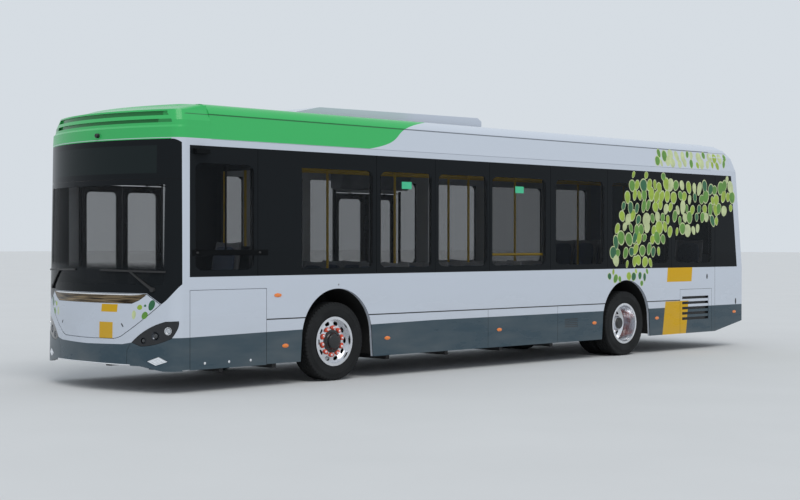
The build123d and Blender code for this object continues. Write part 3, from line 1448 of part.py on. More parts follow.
# Power unit behind the tail lid
with BuildPart() as power_unit:
    with BuildSketch(Plane.XY.offset(470)):
        with Locations((0, 5580)):
            Rectangle(1700, 600)
    extrude(amount=760)
    chamfer(power_unit.edges().filter_by(Axis.Z), 40)
    # Bearers to the podium
    with BuildSketch(Plane.XY.offset(520)):
        with Locations((230, 5260), (-230, 5260)):
            Rectangle(80, 40)
    extrude(amount=80)
made(power_unit, "power_unit")

# Wipers, parked low and inwards: a pivot cap on the glass, a tapered arm and a blade across its end
WIPER_PIVOT = (1000.0, 1165.0)
WIPER_ELBOW = (700.0, 1372.0)
WIPER_BLADE = 900.0
with BuildPart() as wiper_pivots:
    add(nose_shell(-22, 0))
    with BuildSketch(Plane.XZ.offset(5000)):
        with Locations(WIPER_PIVOT):
            Circle(26)
        mirror(about=Plane.YZ)
    extrude(amount=CUT_DEPTH, mode=Mode.INTERSECT)
with BuildPart() as wipers:
    add(nose_shell(-18, -4))
    with BuildSketch(Plane.XZ.offset(5000)):
        with Locations(WIPER_PIVOT):
            Circle(26)
        Polygon(
            (WIPER_PIVOT[0] - 12, WIPER_PIVOT[1] - 10),
            (WIPER_PIVOT[0] + 12, WIPER_PIVOT[1] + 10),
            (WIPER_ELBOW[0] + 6, WIPER_ELBOW[1] + 6),
            (WIPER_ELBOW[0] - 6, WIPER_ELBOW[1] - 6),
            align=None,
        )
        with Locations(WIPER_ELBOW):
            Rectangle(WIPER_BLADE, 20, rotation=-1)
        mirror(about=Plane.YZ)
    extrude(amount=CUT_DEPTH, mode=Mode.INTERSECT)
    add(wiper_pivots.part)
made(wipers, "wipers")
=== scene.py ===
# %% [markdown]
# # A twelve-metre electric city bus
# The CAD model gives the body panels, glass, doors, wheels and everything that moves. This lesson
# dresses it: paint and livery, tinted glass, treaded tyres, wheel nuts, lamps, seats and trim. Each
# new piece is a surface worked out with numpy and rides on one body of the frame.

import bmesh
import bpy
import numpy as np
from mathutils import Matrix


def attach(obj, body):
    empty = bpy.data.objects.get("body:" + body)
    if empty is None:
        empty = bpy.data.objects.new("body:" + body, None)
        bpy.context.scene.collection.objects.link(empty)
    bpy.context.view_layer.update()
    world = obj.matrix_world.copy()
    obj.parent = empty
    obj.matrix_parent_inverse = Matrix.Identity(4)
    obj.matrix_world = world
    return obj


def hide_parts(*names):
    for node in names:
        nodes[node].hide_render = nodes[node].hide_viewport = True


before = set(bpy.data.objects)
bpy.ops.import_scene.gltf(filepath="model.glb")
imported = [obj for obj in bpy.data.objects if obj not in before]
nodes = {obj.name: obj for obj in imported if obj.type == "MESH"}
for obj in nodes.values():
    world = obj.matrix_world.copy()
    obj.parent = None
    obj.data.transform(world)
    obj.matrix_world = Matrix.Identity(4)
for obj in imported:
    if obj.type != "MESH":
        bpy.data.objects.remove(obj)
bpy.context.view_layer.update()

# %% [markdown]
# ## The view
# The camera stands where the photographer stood: at eye height, off the driver's corner, 44 degrees
# from the bus's long axis. Its direction could be three Euler angles. Unit vectors show better that
# a camera looks along its own minus Z with Y up.

# %% Camera
CAMERA_PLACE = (14.9146, -16.0539, 1.7007)
YAW, PITCH, ROLL = 0.775194, -0.005201, 0.000978
LENS_PIXELS, PICTURE_PIXELS = 1529.3, 800


def new_object(name, data):
    """Put data into the scene as an object."""
    made = bpy.data.objects.new(name, data)
    bpy.context.scene.collection.objects.link(made)
    return made


forward = np.array([-np.sin(YAW) * np.cos(PITCH), np.cos(YAW) * np.cos(PITCH), np.sin(PITCH)])
level = np.array([np.cos(YAW), np.sin(YAW), 0.0])
across = np.cross(level, forward)
right = level * np.cos(ROLL) + across * np.sin(ROLL)
upward = across * np.cos(ROLL) - level * np.sin(ROLL)
view_matrix = np.eye(4)
view_matrix[:3] = np.stack([right, upward, -forward, CAMERA_PLACE], axis=-1)
camera_data = bpy.data.cameras.new("photo_camera")
camera_data.sensor_width = 36.0
camera_data.lens = LENS_PIXELS / PICTURE_PIXELS * camera_data.sensor_width
camera_data.clip_end = 500.0
camera = new_object("photo_camera", camera_data)
camera.matrix_world = Matrix(view_matrix.tolist())
bpy.context.scene.camera = camera
bpy.context.scene.view_settings.view_transform = "Standard"
print("lens", round(camera_data.lens, 2), "mm")

# %% [markdown]
# ## Finishes as recipes
# Every finish is a small node tree around one Principled shader. It could be wired by hand. Two
# classes write it as a recipe, so that a line reads like its rule: a mask is a number from 0 to 1
# worked out from the place on the bus in metres, and a colour is mixed by masks.

# %% Arithmetic with node outputs
class Field:
    """Output of a shader node: a number or colour at every place. A product of masks is a mask."""

    def __init__(self, finish, socket):
        self.finish, self.socket = finish, socket

    def math(self, operation, other=0.0):
        """One maths node on this value and another."""
        return self.finish.node("Math", {0: self, 1: other}, operation=operation)

    def __add__(self, other):
        return self.math("ADD", other)

    def __sub__(self, other):
        return self.math("SUBTRACT", other)

    def __rsub__(self, other):
        return self.finish.node("Math", {0: other, 1: self}, operation="SUBTRACT")

    def __mul__(self, other):
        return self.math("MULTIPLY", other)

    def ramp(self, low, high, start=0.0, end=1.0):
        """A straight rise from start to end while the value goes from low to high, flat outside."""
        return self.finish.node("MapRange", {0: self, 1: low, 2: high, 3: start, 4: end})

    def above(self, edge, soft=0.0015):
        """Mask: 1 where the value is over the edge."""
        return (self - edge).ramp(-soft, soft)

    def below(self, edge, soft=0.0015):
        """Mask: 1 where the value is under the edge."""
        return (edge - self).ramp(-soft, soft)

    def between(self, low, high, soft=0.0015):
        """Mask: 1 between two edges."""
        return self.above(low, soft) * self.below(high, soft)


def length(a, b):
    """Length of a flat vector: the root of a squared plus b squared."""
    return (a * a + b * b).math("SQRT")


def blend(mask, base, over):
    """A number that goes from base to over as the mask goes from 0 to 1."""
    return mask * over + (1.0 - mask) * base

# %% A finish under construction
class Finish:
    """One material. Arguments of its methods are numbers, colours or Fields."""

    def __init__(self, name, **values):
        self.material = bpy.data.materials.new(name)
        self.material.use_nodes = True
        self.tree = self.material.node_tree
        self.tree.nodes.clear()
        self.shader = self.tree.nodes.new("ShaderNodeBsdfPrincipled")
        output = self.tree.nodes.new("ShaderNodeOutputMaterial")
        self.tree.links.new(self.shader.outputs[0], output.inputs[0])
        self.place = self.node("TexCoord", {}, "Object")
        split = self.node("SeparateXYZ", {0: self.place}).socket.node
        self.x, self.y, self.z = (Field(self, socket) for socket in split.outputs)
        self.away = self.x.math("ABSOLUTE")
        self.set(**values)

    def set(self, **values):
        """Fill sockets of the shader, named with _ for a space."""
        for key, value in values.items():
            self.plug(self.shader.inputs[key.replace("_", " ")], value)

    def plug(self, socket, value):
        """Link a Field to a socket, or give the socket a number or colour."""
        if isinstance(value, Field):
            self.tree.links.new(value.socket, socket)
        else:
            socket.default_value = (*value, 1.0) if socket.type == "RGBA" else value

    def node(self, kind, inputs, output=0, **settings):
        """Add a node with its settings and inputs, and give one of its outputs."""
        made = self.tree.nodes.new("ShaderNode" + kind)
        for key, value in settings.items():
            setattr(made, key, value)
        for key, value in inputs.items():
            self.plug(made.inputs[key], value)
        return Field(self, made.outputs[output])

    def mix(self, mask, base, over):
        """A colour that goes from base to over as the mask goes from 0 to 1."""
        return self.node("Mix", {0: mask, 6: base, 7: over}, 2, data_type="RGBA")

    def noise(self, scale, detail=3.0, stretch=(1.0, 1.0, 1.0)):
        """Cloudy noise with features of about 1 / scale metres."""
        mapping = self.node("Mapping", {"Vector": self.place, "Scale": stretch})
        return self.node("TexNoise", {"Vector": mapping, "Scale": scale, "Detail": detail})

    def cells(self, scale):
        """Distance from the middle of scattered cells."""
        return self.node("TexVoronoi", {"Vector": self.place, "Scale": scale}, "Distance")

    def relief(self, height, strength, depth):
        """Bump from a height, with its depth in metres."""
        self.set(Normal=self.node("Bump", {"Strength": strength, "Distance": depth, "Height": height}))


def clouded(name, scale, dark, light, detail=3.0, **values):
    """A finish whose colour drifts between two shades, in clouds of about 1 / scale metres."""
    made = Finish(name, **values)
    made.set(Base_Color=made.mix(made.noise(scale, detail), dark, light))
    return made

# %% [markdown]
# ## Stage and light
# A hazy day gives the bus its look: light from the whole sky, and a soft dark patch under the floor.
# A photographed sky would need a picture file. A sky of one colour and one broad lamp are enough.

# %% Floor, sky and lamp
REACH = 220.0
floor_finish = clouded("stage_floor", 0.6, (0.56, 0.57, 0.58), (0.6, 0.61, 0.62), 2.0, Roughness=0.9)
floor_mesh = bpy.data.meshes.new("stage_floor")
floor_corners = [(-REACH, -REACH, 0), (REACH, -REACH, 0), (REACH, REACH, 0), (-REACH, REACH, 0)]
floor_mesh.from_pydata(floor_corners, [], [(0, 1, 2, 3)])
floor_mesh.materials.append(floor_finish.material)
new_object("stage_floor", floor_mesh)

world = bpy.data.worlds.new("studio_sky")
bpy.context.scene.world = world
world.use_nodes = True
sky = world.node_tree
sky.nodes.clear()
haze = sky.nodes.new("ShaderNodeBackground")
haze.inputs["Color"].default_value = (0.84, 0.9, 0.96, 1.0)
haze.inputs["Strength"].default_value = 0.8
sky.links.new(haze.outputs[0], sky.nodes.new("ShaderNodeOutputWorld").inputs[0])

sun_data = bpy.data.lights.new("high_haze", "SUN")
sun_data.energy = 1.3
sun_data.angle = 0.6
sun_data.color = (1.0, 0.97, 0.92)
new_object("high_haze", sun_data).rotation_euler = (0.55, 0.35, 0.6)
print("stage and light ready")

# %% [markdown]
# ## The body in numbers
# The nose is an arc of 2.7 m in plan that leans back, with a corner of 0.17 m at each side. Paint
# and trim both follow it, so its measures are written once, here.

# %% Sides and nose
HALF_WIDTH, FOOT_Z, WALL_TOP_Z = 1.275, 0.25, 2.86
NOSE_TIP_Y, NOSE_ARC, NOSE_CORNER = -6.0, 2.7, 0.17
NOSE_SLOPE = 0.05 / (WALL_TOP_Z - FOOT_Z)
CORNER_X = HALF_WIDTH - NOSE_CORNER
CORNER_BACK = float(np.sqrt((NOSE_ARC - NOSE_CORNER) ** 2 - CORNER_X**2))
ARC_END_X = CORNER_X * NOSE_ARC / (NOSE_ARC - NOSE_CORNER)
SIDES = ((1, "left"), (-1, "right"))
print("the nose's arc ends at x", round(ARC_END_X, 3))

# %% [markdown]
# ## Paint and livery
# The livery is white above a slate-grey skirt, with green over the front of the roof and two yellow
# blocks on each side and on the nose. Each panel could have an image. One recipe in metres serves
# them all, so that the colours' edges run on from panel to panel.

# %% Colours and edges of the livery
WHITE, SLATE = (0.53, 0.575, 0.65), (0.036, 0.064, 0.085)
GREEN, YELLOW = (0.045, 0.43, 0.12), (0.6, 0.345, 0.0)
# Half the green: painted shade for the grooves of the roof cap
GROOVE_PAINTED_SHADE = tuple(0.5 * channel for channel in GREEN)
# Pale lining; painted shade for gaps, grooves and the roof cove; road dust
LINING, PAINTED_RECESS_SHADE, DUST = (0.6, 0.61, 0.62), (0.035, 0.038, 0.042), (0.32, 0.31, 0.29)
# Black behind the screen, the glass's black seat, and painted shade for the louvre wells
BEHIND_SCREEN, GLASS_SEAT, WELL_PAINTED_SHADE = (0.01, 0.01, 0.011), (0.012, 0.012, 0.013), (0.012, 0.013, 0.015)
COAT = 0.12
# Yellow blocks in side view: (y of the front edge at z 0, its rise per metre, length, low z, high z)
SIDE_BLOCKS = ((3.669, 0.104, 0.678, 1.085, 1.325), (3.622, 0.157, 0.64, 0.2, 0.782))
# Yellow blocks on the nose: (low x, high x, low z, high z, slant)
NOSE_BLOCKS = ((0.264, 0.519, 0.906, 0.994, 0.12), (0.237, 0.456, 0.602, 0.79, 0.0))
# Edge of the roof green: y = slope h + cube h^3 - back, with h the height over its foot, to its top
CURVE_FOOT_Z, CURVE_HEIGHT, CURVE_SLOPE, CURVE_CUBE, CURVE_BACK = 3.06, 0.205, 1.184, 44.5, 2.123
GREEN_LOW_Z, CAP_FRONT_Y, COVE_Z = 2.8665, -5.65, 3.145
CAP_GROOVES_Z = ((3.0385, 3.0775), (3.1205, 3.1695))
# Skirt edge: (front y, rear y, z at the front, z at the rear). Gaps given painted shade: (low, high)
SKIRT_EDGE = (-5.5, -1.5, 0.63, 0.686)
HEM_Y, HEM_Z, PANEL_GAP_Y, PANEL_TOP_Z = (-4.365, 4.14), (0.786, 0.801), (5.124, 5.137), 1.325
WALL_GAP_X, NOSE_GAP, NOSE_GAP_TOP_Z = (1.2708, 1.2744), (0.0015, 0.008), 2.855
LOUVRE_Y, LOUVRE_Z = (4.19, 4.95), (0.47, 0.86)


class Paint(Finish):
    """A finish painted in layers. Yellow film is added up apart, because it has no clear coat."""

    def __init__(self, name):
        super().__init__(name, Specular_IOR_Level=0.2, Coat_Weight=COAT, Coat_Roughness=0.06)
        self.colour, self.film = WHITE, 0.0

    def layer(self, mask, colour):
        """Cover the layers below where the mask is 1."""
        self.colour = self.mix(mask, self.colour, colour)

    def block(self, mask):
        """Lay a block of yellow film."""
        self.layer(mask, YELLOW)
        self.film = mask + self.film

# %% Layers of the livery
def roof_green(paint):
    """Green ahead of a cubic S curve, with painted shade, half the green, in the grooves of the cap."""
    rise = (paint.z - CURVE_FOOT_Z).math("MINIMUM", CURVE_HEIGHT)
    line = rise * (rise * rise * CURVE_CUBE + CURVE_SLOPE) - CURVE_BACK
    paint.layer(line.above(paint.y) * paint.z.above(GREEN_LOW_Z), GREEN)
    for groove in CAP_GROOVES_Z:
        paint.layer(paint.z.between(*groove) * paint.y.below(CAP_FRONT_Y), GROOVE_PAINTED_SHADE)


def side_marks(paint):
    """Yellow blocks with slanting ends, then painted shade in the gaps of the hem and of the corner panel."""
    for foot, slant, long, low, high in SIDE_BLOCKS:
        start = paint.z * slant + foot
        paint.block(paint.y.above(start) * (start + long).above(paint.y) * paint.z.between(low, high))
    outside = paint.away.above(1.268)
    paint.layer(outside * (paint.z.between(*HEM_Z) * paint.y.between(*HEM_Y)), PAINTED_RECESS_SHADE)
    paint.layer(outside * (paint.y.between(*PANEL_GAP_Y) * paint.z.below(PANEL_TOP_Z)), PAINTED_RECESS_SHADE)


def side_section(paint):
    """Inside the wall: painted shade in the panel gaps, the glass's black seat, the pale lining, painted
    shade in the louvre wells.
    """
    paint.layer(paint.away.between(*WALL_GAP_X, 0.0003), PAINTED_RECESS_SHADE)
    paint.layer(paint.away.below(1.2705, 0.0005) * paint.z.between(1.3, 2.79), GLASS_SEAT)
    paint.layer(paint.away.below(1.2325, 0.0005) * paint.y.above(-5.42), LINING)
    well = paint.y.between(*LOUVRE_Y) * paint.z.between(*LOUVRE_Z)
    paint.layer(well * (paint.away.below(1.268) * paint.away.above(1.236)), WELL_PAINTED_SHADE)


def nose_depth(paint):
    """Depth under the nose's skin: radius less distance from the axis, of the arc or the corner."""
    from_arc = paint.y - (paint.z * NOSE_SLOPE + (NOSE_TIP_Y + NOSE_ARC - NOSE_SLOPE * FOOT_Z))
    middle = NOSE_ARC - length(paint.x, from_arc)
    corner = NOSE_CORNER - length(paint.away - CORNER_X, from_arc + CORNER_BACK)
    return blend(paint.away.above(ARC_END_X), middle, corner)


def nose_marks(paint):
    """Yellow blocks of the nose, which lean with their height."""
    for low_x, high_x, low, high, slant in NOSE_BLOCKS:
        upright = paint.x - (paint.z - low) * slant
        paint.block(upright.between(low_x, high_x) * paint.z.between(low, high))


def weather(paint):
    """Road dust: cloudy, thick at the skirt and gone at the belt. It dulls the coat."""
    dust = paint.z.ramp(0.25, 1.25, 0.2, 0.0) * paint.noise(2.2, 5.0, (1, 0.5, 2)).ramp(0.35, 0.75)
    paint.set(Base_Color=paint.mix(dust, paint.colour, DUST), Roughness=dust.ramp(0.0, 0.2, 0.24, 0.5))
    paint.relief(paint.noise(38.0, 1.0), 0.12, 0.0012)

# %% Livery recipe
def livery(name, skirt, part="", green=True):
    """Painted panel with its skirt on "all" faces, "sides" or "none", and the marks of its part."""
    paint = Paint(name)
    if green:
        roof_green(paint)
    if skirt == "none":
        # A line of painted shade runs along the cove between the fairing and the roof
        cove = paint.z.between(COVE_Z - 0.007, COVE_Z + 0.004) * paint.away.above(1.21)
        paint.layer(cove * 0.7, PAINTED_RECESS_SHADE)
    else:
        band = paint.y.ramp(*SKIRT_EDGE).above(paint.z)
        paint.layer(band * paint.away.above(1.262) if skirt == "sides" else band, SLATE)
    if part == "side":
        side_marks(paint)
        side_section(paint)
    else:
        if part == "nose":
            nose_marks(paint)
        depth = nose_depth(paint)
        # Painted shade in the gaps between the nose's panels
        paint.layer(depth.between(*NOSE_GAP, 0.0004) * paint.z.below(NOSE_GAP_TOP_Z), PAINTED_RECESS_SHADE)
    if part == "nose":
        # The frame is green over the screen, and black where it lies behind the glass
        paint.layer(paint.z.above(2.77) * paint.away.below(1.185), GREEN)
        paint.layer(depth.above(0.007) * paint.z.between(1.0, 2.858), BEHIND_SCREEN)
    if part:
        paint.set(Coat_Weight=blend(paint.film, COAT, 0.0))
    weather(paint)
    return paint


side_paint = livery("side_livery", "sides", "side")
end_paint = livery("end_livery", "all")
nose_paint = livery("nose_livery", "sides", "nose")
roof_paint = livery("roof_livery", "none")
unit_paint = livery("roof_unit_paint", "none", green=False)
print("liveries:", len(bpy.data.materials) - 1)

# %% [markdown]
# ## Glass
# Bus panes are tinted and have a black ceramic border with rounded openings. The border could be a
# second sheet. An alpha mask on one surface does both: 1 in the border, less in the opening.

# %% Side glass with rounded openings
OPENINGS = (
    (-5.4, -4.58), (-4.42, -2.64), (-2.47, -1.55), (-1.4, -0.47), (-0.33, 0.78), (1.05, 2.15), (2.37, 3.79),
    (4.02, 5.01))
OPENING_LOW, OPENING_HIGH, CORNER = 1.38, 2.59, 0.075
RAMP_LOW, RAMP_HIGH = -5.5, 5.5
GLASS_BLACK, SIGN_BLACK = (0.01, 0.012, 0.014), (0.0145, 0.02, 0.021)


def tinted(name, **values):
    """Glossy black glass, which an alpha under 1 makes clear."""
    return Finish(name, Base_Color=GLASS_BLACK, Roughness=0.03, Specular_IOR_Level=0.06, **values)


def inside_opening(glass):
    """Mask of the side openings. Along the bus and in height, the shortfall is how much of a corner
    radius is missing to the opening's end. The root of both squared stays under the radius."""
    ramp = glass.node("ValToRGB", {0: glass.y.ramp(RAMP_LOW, RAMP_HIGH)})
    elements = ramp.socket.node.color_ramp.elements
    stops = [
        ((y - RAMP_LOW) / (RAMP_HIGH - RAMP_LOW), (value, value, value, 1))
        for low, high in OPENINGS
        for y, value in ((low, 0.0), (low + CORNER, 1.0), (high - CORNER, 1.0), (high, 0.0))]
    for element, stop in zip(elements, (stops[0], stops[-1])):
        element.position, element.color = stop
    for place, value in stops[1:-1]:
        elements.new(place).color = value
    rise = (glass.z - OPENING_LOW).math("MINIMUM", OPENING_HIGH - glass.z)
    short_z = (CORNER - rise).math("MAXIMUM", 0.0)
    return length((1.0 - ramp) * CORNER, short_z).below(CORNER - 0.002, 0.002)


side_glass = tinted("side_glass")
# The cab's rear wall stands behind the front of the second opening, on the driver's side
cab_wall = side_glass.y.between(-4.5, -3.81) * side_glass.x.above(0.0)
opening = inside_opening(side_glass) * (1.0 - cab_wall)
# The rear saloon has the darker tint
tint = side_glass.y.ramp(2.2, 2.3, 0.34, 0.52)
side_glass.set(Alpha=1.0 - opening * (1.0 - tint))
print("openings a side:", len(OPENINGS))

# %% Front and door glass
front_glass = tinted("front_glass")
height, away = front_glass.z, front_glass.away
screen = height.between(1.22, 2.34, 0.004) * away.below(1.12, 0.004)
# Dots fade the black border out over the dashboard
screen = screen * height.ramp(1.38, 1.47, 0.12, 1.0)
sign = height.between(2.47, 2.78, 0.004) * away.below(1.02, 0.004)
front_glass.set(Alpha=1.0 - screen * 0.76, Base_Color=front_glass.mix(sign, GLASS_BLACK, SIGN_BLACK))
door_glass = tinted("door_glass", Alpha=0.35)
print("glass:", side_glass.material.name, front_glass.material.name, door_glass.material.name)

# %% [markdown]
# ## Other finishes
# Grained plastic, cast iron, brushed aluminium, vinyl floor and coated rails could each be one flat
# colour. A hand's width of any of them never is, so each has its own scale of grain.

# %% Plain finishes
def grained(name, colour, rough=0.55, grain=420.0, depth=0.0006, vary=0.25, **values):
    """Moulded plastic or coated metal: fine cells for the grain, slow clouds in its colour."""
    made = Finish(name, **values)
    cloud = made.noise(5.0, 4.0).ramp(0.3, 0.7)
    made.set(Base_Color=made.mix(cloud, tuple(channel * (1 - vary) for channel in colour), colour))
    made.set(Roughness=cloud.ramp(0.0, 1.0, rough + 0.08, rough - 0.05))
    made.relief(made.cells(grain), 0.25, depth)
    return made


black_plastic = grained("black_plastic", (0.016, 0.016, 0.017), 0.5)
grey_plastic = grained("grey_plastic", (0.3, 0.31, 0.33), 0.55)
headlining = grained("headlining", (0.56, 0.57, 0.58), 0.7, 300.0, 0.0004, 0.08)
chassis_black = grained("chassis_black", (0.02, 0.02, 0.021), 0.7, 160.0, 0.001, 0.4)
housing_black = grained("housing_felt", (0.01, 0.01, 0.01), 0.9, 300.0, 0.0015, 0.4)
cast_iron = grained("cast_iron", (0.03, 0.03, 0.031), 0.75, 260.0, 0.0012, 0.4)
black_gloss = grained("black_gloss", (0.008, 0.009, 0.01), 0.22, 60.0, 0.0002, 0.1, Coat_Weight=0.2)
yellow_coat = grained("yellow_coat", (0.9, 0.58, 0.01), 0.35, 220.0, 0.0003, 0.12, Coat_Weight=0.3)
dull_black = grained("dull_black", (0.007, 0.008, 0.009), 0.7, 400.0, 0.0003, 0.3, Specular_IOR_Level=0.04)
rubber = grained("rubber", (0.01, 0.011, 0.012), 0.75, 500.0, 0.0004, 0.3, Specular_IOR_Level=0.3)
print("grained finishes ready")

# %% Finishes with a pattern of their own
vinyl = Finish("vinyl_floor", Roughness=0.6)
specks = vinyl.cells(140.0).below(0.22, 0.05)
vinyl.set(Base_Color=vinyl.mix(specks, (0.11, 0.12, 0.14), (0.34, 0.35, 0.37)))
vinyl.relief(vinyl.cells(140.0), 0.2, 0.0005)
polished = Finish("polished_aluminium", Metallic=1.0)
turning = polished.noise(90.0, 2.0, (1.0, 0.15, 0.15))
polished.set(Base_Color=polished.mix(turning, (0.62, 0.63, 0.66), (0.86, 0.87, 0.9)))
polished.set(Roughness=turning.ramp(0.2, 0.8, 0.14, 0.3))
polished.relief(polished.noise(260.0, 2.0), 0.06, 0.0004)
chrome = clouded("chrome", 12.0, (0.78, 0.79, 0.81), (0.92, 0.92, 0.93), Metallic=1.0)
chrome.set(Roughness=chrome.noise(30.0).ramp(0.3, 0.7, 0.05, 0.12))
lamp_black = clouded(
    "lamp_body", 20.0, (0.006, 0.007, 0.009), (0.016, 0.018, 0.021),
    Roughness=0.12, Specular_IOR_Level=0.3, Coat_Weight=0.4, Coat_Roughness=0.02)
amber = Finish("amber_lens", Roughness=0.15, Coat_Weight=0.8)
tail_red = amber.y.above(5.5) * amber.z.above(0.98)
amber.set(Base_Color=amber.mix(tail_red, (0.8, 0.2, 0.015), (0.55, 0.012, 0.01)))
amber.relief((amber.y * 900.0).math("SINE"), 0.5, 0.001)
print("patterned finishes ready")

# %% [markdown]
# ## Dressing the CAD nodes
# A CAD node keeps its mesh and only gets a finish. It could be picked by hand for each of the 56
# nodes. The table goes from starts of names to a finish, and the longest start that fits wins.

# %% Finish of each CAD node
DRESS = (
    (side_paint, "side_wall service_flap"),
    (nose_paint, "front_frame front_flap"),
    (end_paint, "front_bumper tail_wall tail_lid"),
    (roof_paint, "roof"),
    (unit_paint, "battery_packs cooling_unit"),
    (headlining, "roof_deck"),
    (front_glass, "front_glass"),
    (side_glass, "window_panes"),
    (door_glass, "door_glass"),
    (black_gloss, "door_leaf"),
    (chassis_black, "door_arm chassis_frame power_unit seat_stands"),
    (grey_plastic, "door_drives seats"),
    (lamp_black, "head_lamps"),
    (amber, "signal_lamps"),
    (dull_black, "mirror_cameras"),
    (black_plastic, "wipers dashboard cab_partition"),
    (vinyl, "low_floor rear_podium driver_platform"),
    (housing_black, "wheel_housings"),
    (cast_iron, "front_axle rear_axle knuckle"),
    (yellow_coat, "grab_poles ceiling_rails"),
    (polished, "front_rim rear_rims"),
    (rubber, "front_tyre rear_tyres"),
)
finish_of = {start: finish for finish, starts in DRESS for start in starts.split()}
for name, node in nodes.items():
    start = max((start for start in finish_of if name.startswith(start)), key=len)
    node.data.materials.clear()
    node.data.materials.append(finish_of[start].material)
print("dressed", len(nodes), "nodes")

# %% [markdown]
# ## Surfaces worked out as grids
# Trim could be built from primitives and modifiers. Here each piece is a closed skin over a grid of
# points, because a formula keeps its measures in sight. Columns run round its section and always
# close. Rows run along it, and an end closes where all points of its row meet.

# %% Closed skins
class Skin:
    """Grids of points gathered for one object."""

    def __init__(self):
        self.points, self.faces, self.slots, self.count = [], [], [], 0

    def add(self, grid, slot=0, ring=False):
        """Add grids shaped (..., rows, columns, 3). Rows close too if ring. The slot is one number,
        or one for each strip between rows."""
        rows, columns = grid.shape[-3:-1]
        grid = np.asarray(grid, float).reshape(-1, rows, columns, 3)
        row, column = np.meshgrid(np.arange(rows - (not ring)), np.arange(columns), indexing="ij")
        here, after, column_on = row * columns, (row + 1) % rows * columns, (column + 1) % columns
        quads = [here + column, here + column_on, after + column_on, after + column]
        quads = np.stack(quads, axis=-1).reshape(-1, 4)
        starts = self.count + np.arange(len(grid)) * rows * columns
        self.faces.append((quads[None] + starts[:, None, None]).reshape(-1, 4))
        strips = np.broadcast_to(np.asarray(slot)[..., None], (len(row), columns)).ravel()
        self.slots.append(np.tile(strips, len(grid)))
        self.points.append(grid.reshape(-1, 3))
        self.count += len(self.points[-1])
        return self

    def make(self, name, body, finishes, slot, crease=0.6, replaces=()):
        """Weld the grids into an object on a body; edges sharper than crease stay crisp."""
        mesh = bpy.data.meshes.new(name)
        mesh.from_pydata(np.concatenate(self.points), [], np.concatenate(self.faces))
        mesh.polygons.foreach_set("material_index", np.concatenate(self.slots))
        for finish in finishes:
            mesh.materials.append(finish.material)
        welded = bmesh.new()
        welded.from_mesh(mesh)
        bmesh.ops.remove_doubles(welded, verts=welded.verts, dist=1e-6)
        bmesh.ops.recalc_face_normals(welded, faces=welded.faces)
        welded.to_mesh(mesh)
        welded.free()
        mesh.polygons.foreach_set("use_smooth", np.ones(len(mesh.polygons), bool))
        mesh.set_sharp_from_angle(angle=crease)
        piece = new_object(name, mesh)
        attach(piece, body)
        if replaces:
            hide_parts(*replaces)
        print(name, "on", body, len(mesh.polygons), "faces")
        return piece

# %% Grids of common shapes
def points(x, y, z):
    """Grids of coordinates, brought to one shape, as a grid of points."""
    return np.stack(np.broadcast_arrays(x, y, z), axis=-1)


def around(count, start=0.0):
    """Evenly spaced angles of a full turn."""
    return start + np.linspace(0.0, 2 * np.pi, count, endpoint=False)


def turned(profile, turns, shape=1.0):
    """Turned (x, radius) points: y = r cos t, z = r sin t, with r = radius times the shape at t."""
    along, radius = np.asarray(profile, float).T[:2, :, None]
    radius = radius * shape
    return points(along, radius * np.cos(turns), radius * np.sin(turns))


def placed(grid, origins, frames):
    """Copies of a local grid at origins, with local x, y and z along the rows of each frame."""
    return np.einsum("rck,nkj->nrcj", grid, frames) + np.asarray(origins, float)[:, None, None]


def squared_off(value, power):
    """A cosine or sine whose size is raised to a power under 1."""
    return np.sign(value) * np.abs(value) ** power


def oval(width, depth, count=16, square=0.5):
    """Rounded section: w/2 * cos t and d/2 * sin t, both squared off."""
    turns = around(count, np.pi / count)
    return width / 2 * squared_off(np.cos(turns), square), depth / 2 * squared_off(np.sin(turns), square)


def capped(grid):
    """A swept grid with its end rows drawn together to their mean point, which closes them."""
    first, last = (np.broadcast_to(grid[k].mean(axis=0), grid[:1].shape) for k in (0, -1))
    return np.concatenate([first, grid, last])

# %% [markdown]
# ## Faces of the body to work on
# Trim lies on the nose, the flat side and the leaning roof fairing. A Shrinkwrap modifier could bend
# it over them. Instead a face is a function that turns two coordinates on it and a distance
# outwards into points, which keeps the distance exact.

# %% Nose, side, fairing and level plane
REAR_CAP_Y, REAR_CAP_SLOPE, FAIRING_SLOPE = 5.0, 0.1524, 0.1754
CAP_BEND_Z, CAP_BEND_SLOPE = 3.07, 0.29


def nose_face(x, z, out=0.0):
    """Points over the nose: along each arc, sin t = x / radius, and the lean grows with height."""
    arc_y = NOSE_TIP_Y + NOSE_ARC + NOSE_SLOPE * (z - FOOT_Z)
    corner = np.abs(x) > ARC_END_X
    radius = np.where(corner, NOSE_CORNER, NOSE_ARC)
    centre_x = np.where(corner, np.sign(x) * CORNER_X, 0.0)
    centre_y = np.where(corner, arc_y - CORNER_BACK, arc_y)
    sine = np.clip((x - centre_x) / radius, -1.0, 1.0)
    reach = radius + out
    return points(centre_x + sine * reach, centre_y - np.sqrt(1 - sine**2) * reach, z)


def side_face(side):
    """Face of one flat side: (y, z, out) to points."""
    return lambda y, z, out=0.0: points(side * (HALF_WIDTH + out), y, z)


def fairing_face(side):
    """Face of a roof fairing, which leans in, and more over the bend of the rear cap."""

    def face(y, z, out=0.0):
        slope = np.where(y > REAR_CAP_Y, REAR_CAP_SLOPE, FAIRING_SLOPE)
        bend = np.maximum(z - CAP_BEND_Z, 0.0) * np.where(y > REAR_CAP_Y, CAP_BEND_SLOPE, 0.0)
        return points(side * (HALF_WIDTH - slope * (z - WALL_TOP_Z) - bend + out), y, z)

    return face


def level_face(height):
    """A level plane: (x, y, out) to points, with out upwards."""
    return lambda x, y, out=0.0: points(x, y, height + out)

